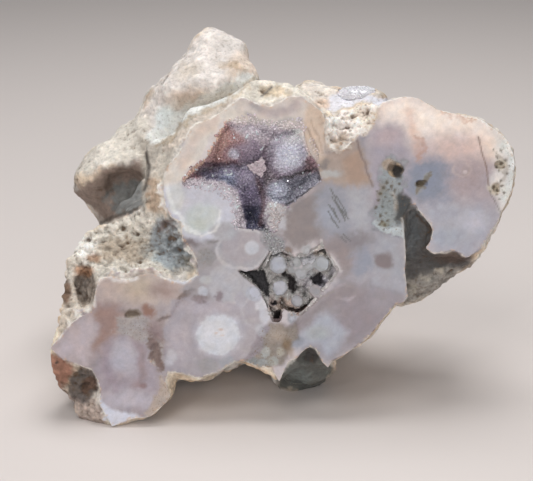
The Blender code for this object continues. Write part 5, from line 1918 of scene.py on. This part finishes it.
@dataclass
class MainHollow(Druse):
    """The amethyst lined hollow: a ball, a smaller ball, a column and a throat between steep walls.

    Its floor is drawn nearer to the face than the CAD node's, so some of it reaches into the opening that the
    record names main_hollow.

    Attributes:
        rim: depth of the floor at the rim, in mm.
        floor: depth of the floor away from the walls, in mm.
        wall: how far from the rim the wall reaches its foot, in mm.
        crust: how far the crystals rise from the floor, in mm.
    """

    rim: float = 0.6
    floor: float = 11.5
    wall: float = 4.5
    crust: float = 1.3

    def depth(self, flat: np.ndarray) -> np.ndarray:
        """Give the depth of the crust behind the face, in mm.

        Args:
            flat: rows of u and v.

        Returns:
            One depth for each row.
        """
        inward = np.maximum(0.0, -outline_distance(flat, MAIN_MOUTH))
        share = np.minimum(1.0, inward / self.wall)
        deep = self.rim + (self.floor - self.rim) * np.sin(share * math.pi / 2)
        for middle, extra, reach in (
            ((-11.0, 71.5), 4.0, 5.0), ((-24.0, 84.5), 1.0, 5.0), ((8.0, 82.0), 1.0, 4.0)
        ):
            away = np.linalg.norm(flat - middle, axis=1) / reach
            deep += extra * share * np.exp(-(away**2))
        deep += 0.9 * share * sampled(np.column_stack([flat, np.zeros(len(flat))]), 3.5, noise.noise)
        for start, end, top, fall in (
            ((2.0, 91.0), (2.6, 92.5), 1.5, 0.085),
            ((-1.3, 78.8), (-1.3, 78.8), 2.4, 0.3),
            ((-18.0, 96.5), (-10.0, 99.0), 2.2, 0.085),
            ((-15.8, 91.3), (-15.8, 91.3), 3.1, 0.7),
            ((-28.0, 83.4), (-17.0, 84.6), 6.4, 0.3),
            ((-10.0, 84.5), (-14.0, 83.5), 6.2, 0.3),
        ):
            deep = np.minimum(deep, top + fall * segment_distance(flat, start, end) ** 2)
        column = 6.0 + 0.62 * np.maximum(0.0, 84.5 - flat[:, 1]) + 0.25 * (flat[:, 0] + 10.0) ** 2
        deep = np.where(flat[:, 1] < 87.0, np.minimum(deep, column), deep)
        spots = seen_points(np.column_stack([flat, np.zeros(len(flat))]))
        drift = wandering(spots)
        for mark in DRUSE_MARKS:
            if "fringe" in mark.name or mark.name == "rosy lobes":
                deep = deep + mark.cover(spots, drift) * (1.9 - deep)
        bumps = sampled(np.column_stack([flat, deep]), 1.7, lambda spot: noise.voronoi(spot)[0][0])
        return np.maximum(deep - self.crust + 0.5 * bumps, 0.35)

    def skin(self) -> tuple[np.ndarray, np.ndarray, int]:
        """Make the crust of the main hollow, its fringes on the face and the loose splinter.

        Returns:
            Points, triangles, and how many of these carry crystals.
        """
        beds = [Bed(MAIN_MOUTH, 0.45, 0.9).skin(self.depth)]
        for fringe in FRINGES:
            beds.append(Bed(placed(fringe), 0.45, 0.5, 0.0).skin(self.fringe_depth))
        points, triangles, bare = Bed(placed(SPLINTER), 0.2, 1.6, 0.1).skin(self.splinter_depth)
        beds.append((points, triangles, 0 * bare))
        return joined(beds)

    @staticmethod
    def fringe_depth(flat: np.ndarray) -> np.ndarray:
        """Give the depth of the crusts that lie in the skin of the face, in mm."""
        return 0.3 + 0.1 * cloud(np.column_stack([flat, np.zeros(len(flat))]), 1.5, 2)

    def finish_paint(self, points: np.ndarray, colours: np.ndarray, start: int) -> None:
        """Paint highlights onto the crystals that should catch the light, and paint the splinter.

        Args:
            points: all points of the piece.
            colours: their colours, changed in place.
            start: number of the first point of a crystal.
        """
        # Painted highlights: the three points nearest each glint are painted near white.
        tips = seen_points(points[start:].reshape(-1, CRYSTAL_CORNERS, 3)[:, -1])
        for glint in GLINTS:
            away = np.linalg.norm(tips - glint, axis=1)
            for number in np.argsort(away)[:3]:
                first = start + CRYSTAL_CORNERS * number
                colours[first : first + CRYSTAL_CORNERS] = linear("eef4fa")[:3]
        near = outline_distance(points[:start, :2], placed(SPLINTER)) < 0.15
        loose = np.flatnonzero(near & (points[:start, 2] > -5.6))
        grain = 1.0 + 0.45 * cloud(points[loose] * (1.0, 2.2, 1.0), 1.3, 3)
        colours[loose] = np.asarray(linear("bfb0b6")[:3]) * grain[:, None]

    @staticmethod
    def splinter_depth(flat: np.ndarray) -> np.ndarray:
        """Give the depth of the splinter's broken top behind the face, in mm."""
        deep = np.column_stack([flat, np.zeros(len(flat))])
        return 3.2 - 0.12 * (flat[:, 0] + 9.0) + 0.55 * cloud(deep, 1.3, 3)


@dataclass
class LowerHollow(Druse):
    """The lower hollow: knobs of different heights between the small stalactites, with a few dark holes.

    Attributes:
        floor: depth of the floor between the knobs, in mm.
        void: depth of the dark holes, in mm.
        knob_count: how many knobs there are.
    """

    floor: float = 3.4
    void: float = 6.6
    knob_count: int = 190

    def knobs(self) -> list[tuple[float, float, float, float]]:
        """Place the knobs.

        Returns:
            The u, v, radius and depth of the top of each, in mm.
        """
        draw = np.random.RandomState(SEED + 5)
        placed: list[tuple[float, float, float, float]] = []
        corners = np.asarray(LOWER_MOUTH)
        low, high = corners.min(0), corners.max(0)
        while len(placed) < self.knob_count:
            spot = draw.uniform(low, high)
            radius, top = draw.uniform(0.6, 1.6), draw.uniform(0.25, 1.7)
            placed.append((spot[0], spot[1], radius, top))
        return placed

    def depth(self, flat: np.ndarray) -> np.ndarray:
        """Give the depth of the crust behind the face.

        Args:
            flat: rows of u and v.

        Returns:
            One depth for each row, in mm.
        """
        deep = np.full(len(flat), self.floor)
        for u, v, radius, top in self.knobs():
            away = np.hypot(flat[:, 0] - u, flat[:, 1] - v) / radius
            deep = np.minimum(deep, top + 0.5 * radius * away**2 + 2.5 * np.maximum(0.0, away - 0.9) ** 2)
        for (x, y), radius, _, _ in STALACTITES:
            u, v = on_face(x, y)
            across, up = flat[:, 0] - u, flat[:, 1] - v
            turn = np.arctan2(up, across)
            lobes = 1.0 + 0.1 * np.sin(5 * turn + x) + 0.08 * np.sin(9 * turn + y)
            away = np.hypot(across, up) - radius / POINTS_PER_MM * lobes
            deep = np.minimum(deep, 0.55 + 1.8 * np.maximum(0.0, away))
        spots = seen_points(np.column_stack([flat, np.zeros(len(flat))]))
        drift = wandering(spots)
        for void in VOIDS:
            deep = deep + void.cover(spots, drift) * (self.void - deep)
        bumps = sampled(np.column_stack([flat, deep]), 1.3, lambda spot: noise.voronoi(spot)[0][0])
        return np.maximum(deep + 0.3 * bumps, 0.4)

    def skin(self) -> tuple[np.ndarray, np.ndarray, int]:
        """Make the crust of the lower hollow, and the knobs that grow over its rim.

        Returns:
            Points, triangles, and how many of these carry crystals.
        """
        beds = [Bed(LOWER_MOUTH, 0.35, 0.4).skin(self.depth)]
        for growth in OVERGROWTH:
            points, triangles, count = Bed(placed(growth), 0.3, 0.5, 0.0).skin(self.overgrown)
            beds.append((points, triangles, 0 * count))
        return joined(beds)

    @staticmethod
    def overgrown(flat: np.ndarray) -> np.ndarray:
        """Give the depth of the knobs over the rim.

        Args:
            flat: rows of u and v.

        Returns:
            One depth for each row, in mm, negative where they stand out of the face.
        """
        deep = np.column_stack([flat, np.zeros(len(flat))])
        knobs = sampled(deep, 1.3, lambda spot: 1.0 - noise.voronoi(spot)[0][0])
        return 0.35 - 0.65 * smooth_step(0.35, 0.9, knobs)

    def finish_paint(self, points: np.ndarray, colours: np.ndarray, start: int) -> None:
        """Paint shade into what lies deep between the knobs, and a slight painted highlight onto their highest
        tops.
        """
        colours *= (0.42 + 0.7 * smooth_step(-3.2, -0.7, points[:, 2]))[:, None]


@dataclass
class TopPocket(Druse):
    """The pocket of pale points behind the top edge, on the crust's skin, with a cushion of points inside.

    Attributes:
        middle: the middle of the cushion.
        radii: its three radii, in mm.
        source: the CAD node that gives the skin.
    """

    middle: tuple[float, float, float] = (27.0, 112.8, -25.6)
    radii: tuple[float, float, float] = (8.5, 3.8, 6.9)
    source: bpy.types.Object | None = None

    def skin(self) -> tuple[np.ndarray, np.ndarray, int]:
        """Take the crust's skin, made finer and rounder, with the cushion in it.

        Returns:
            Points, triangles, and how many of these carry crystals.
        """
        mesh = frame_copy(self.source)
        form = bmesh.new()
        form.from_mesh(mesh)
        cushion = Matrix.Translation(self.middle) @ Matrix.Diagonal((*self.radii, 1.0))
        bmesh.ops.create_icosphere(form, subdivisions=3, radius=1.0, matrix=cushion)
        form.to_mesh(mesh)
        form.free()
        mesh = through_modifier(mesh, "REMESH", {"mode": "VOXEL", "voxel_size": 0.35})
        mesh = through_modifier(mesh, "TRIANGULATE", {})
        points = points_of(mesh)
        points = relaxed(points, edges_of(mesh), np.full(len(points), 0.5), 12)
        triangles = triangles_of(mesh)
        a, b, c = (points[triangles[:, corner]] for corner in range(3))
        normal = np.cross(b - a, c - a)
        up = normal[:, 1] * 0.7 + normal[:, 2] * 0.7 > 0.15 * np.linalg.norm(normal, axis=1)
        order = np.argsort(~up, kind="stable")
        bpy.data.meshes.remove(mesh)
        return points, triangles[order], int(up.sum())


@dataclass
class Studio:
    """A pale floor, soft light and the camera of the photograph.

    Attributes:
        floor_size: length of the floor's sides, in metres.
        lens: the camera's focal length, in mm.
        sensor: the width of its sensor, in mm.
        sky: strength of the light from all sides.
        aim: height that the lights point at, in metres.
    """

    floor_size: float = 14.0
    lens: float = 91.2
    sensor: float = 36.0
    sky: float = 0.24
    aim: float = 0.055

    def build(self) -> None:
        """Build the floor, the lights and the camera."""
        self.lay_floor()
        self.hang_lights()
        self.place_camera()

    def lay_floor(self) -> None:
        """Lay the floor and set the light that comes from all sides."""
        half = self.floor_size / 2
        mesh = bpy.data.meshes.new("floor")
        mesh.from_pydata([(-half, -half, 0), (half, -half, 0), (half, half, 0), (-half, half, 0)], [],
                         [(0, 1, 2, 3)])
        mesh.materials.append(PaintedFloor().make())
        floor = bpy.data.objects.new("floor", mesh)
        bpy.context.scene.collection.objects.link(floor)
        world = bpy.data.worlds.new("soft_room")
        world.use_nodes = True
        back = world.node_tree.nodes["Background"]
        back.inputs["Color"].default_value = linear("eaeaec")
        back.inputs["Strength"].default_value = self.sky
        bpy.context.scene.world = world

    def hang_lights(self) -> None:
        """Hang the key, the top and the front light, and a small one that makes the crystals sparkle."""
        for name, place, size, power, tone in (
            ("key", (-0.22, -0.46, 0.72), 0.40, 1.9, "fffdfb"),
            ("top", (0.04, 0.20, 0.85), 0.50, 4.9, "ffffff"),
            ("front", (0.06, -0.75, 0.30), 0.30, 1.5, "ffffff"),
            ("glint", (-0.32, -0.60, 0.34), 0.03, 0.4, "ffffff"),
        ):
            lamp = bpy.data.lights.new(name, "AREA")
            lamp.size = size
            lamp.energy = power
            lamp.color = linear(tone)[:3]
            holder = bpy.data.objects.new(name, lamp)
            holder.location = place
            aim = Vector((0.0, 0.0, self.aim)) - Vector(place)
            holder.rotation_euler = aim.to_track_quat("-Z", "Y").to_euler()
            bpy.context.scene.collection.objects.link(holder)

    def place_camera(self) -> None:
        """Set the camera square onto the face, as the photograph has it."""
        camera = bpy.data.cameras.new("camera")
        camera.lens = self.lens
        camera.sensor_width = self.sensor
        holder = bpy.data.objects.new("camera", camera)
        holder.location = face_matrix() @ Vector((*VIEW_CENTRE, VIEW_DISTANCE))
        holder.rotation_euler = (math.radians(90.0 - FACE_LEAN), 0.0, 0.0)
        bpy.context.scene.collection.objects.link(holder)
        bpy.context.scene.camera = holder


def corners(box: Sequence[Sequence[float]]) -> list[list[float]]:
    """Turn a box into plain lists."""
    return [[float(value) for value in corner] for corner in box]


def main() -> None:
    """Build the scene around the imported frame."""
    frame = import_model()
    nodes = frame["nodes"]
    bpy.context.scene.view_settings.view_transform = "Standard"
    Studio().build()
    pieces = (
        Stone(nodes["geode_stone"]),
        MainHollow(
            "main_druse", "main_hollow_crystals", Material.AMETHYST, GrownDruse(), "a79aa3", DRUSE_MARKS,
            PointCrop(0.62, 0.36, 0.7),
        ),
        LowerHollow(
            "lower_druse", "lower_hollow_crystals", Material.PALE,
            GrownDruse("quartz_druse_grown", clear=0.04), "a9a5a3", (*KNOB_MARKS, *VOIDS),
            PointCrop(0.6, 0.2, 0.32, 0.5, SEED + 11),
        ),
        TopPocket(
            "top_druse", "top_hollow_crystals", Material.LAVENDER,
            GrownDruse("lavender_quartz_druse_grown", clear=0.05), "efecf4", (),
            PointCrop(0.5, 0.22, 0.28, 0.3), source=nodes["top_hollow_crystals"],
        ),
    )
    for piece in pieces:
        for made in piece.build():
            mesh = made.data
            log.info("%s: %d triangles", made.name, len(mesh.loops) - 2 * len(mesh.polygons))


if __name__ == "__main__":
    logging.basicConfig(level=logging.INFO, format="%(message)s")
    main()
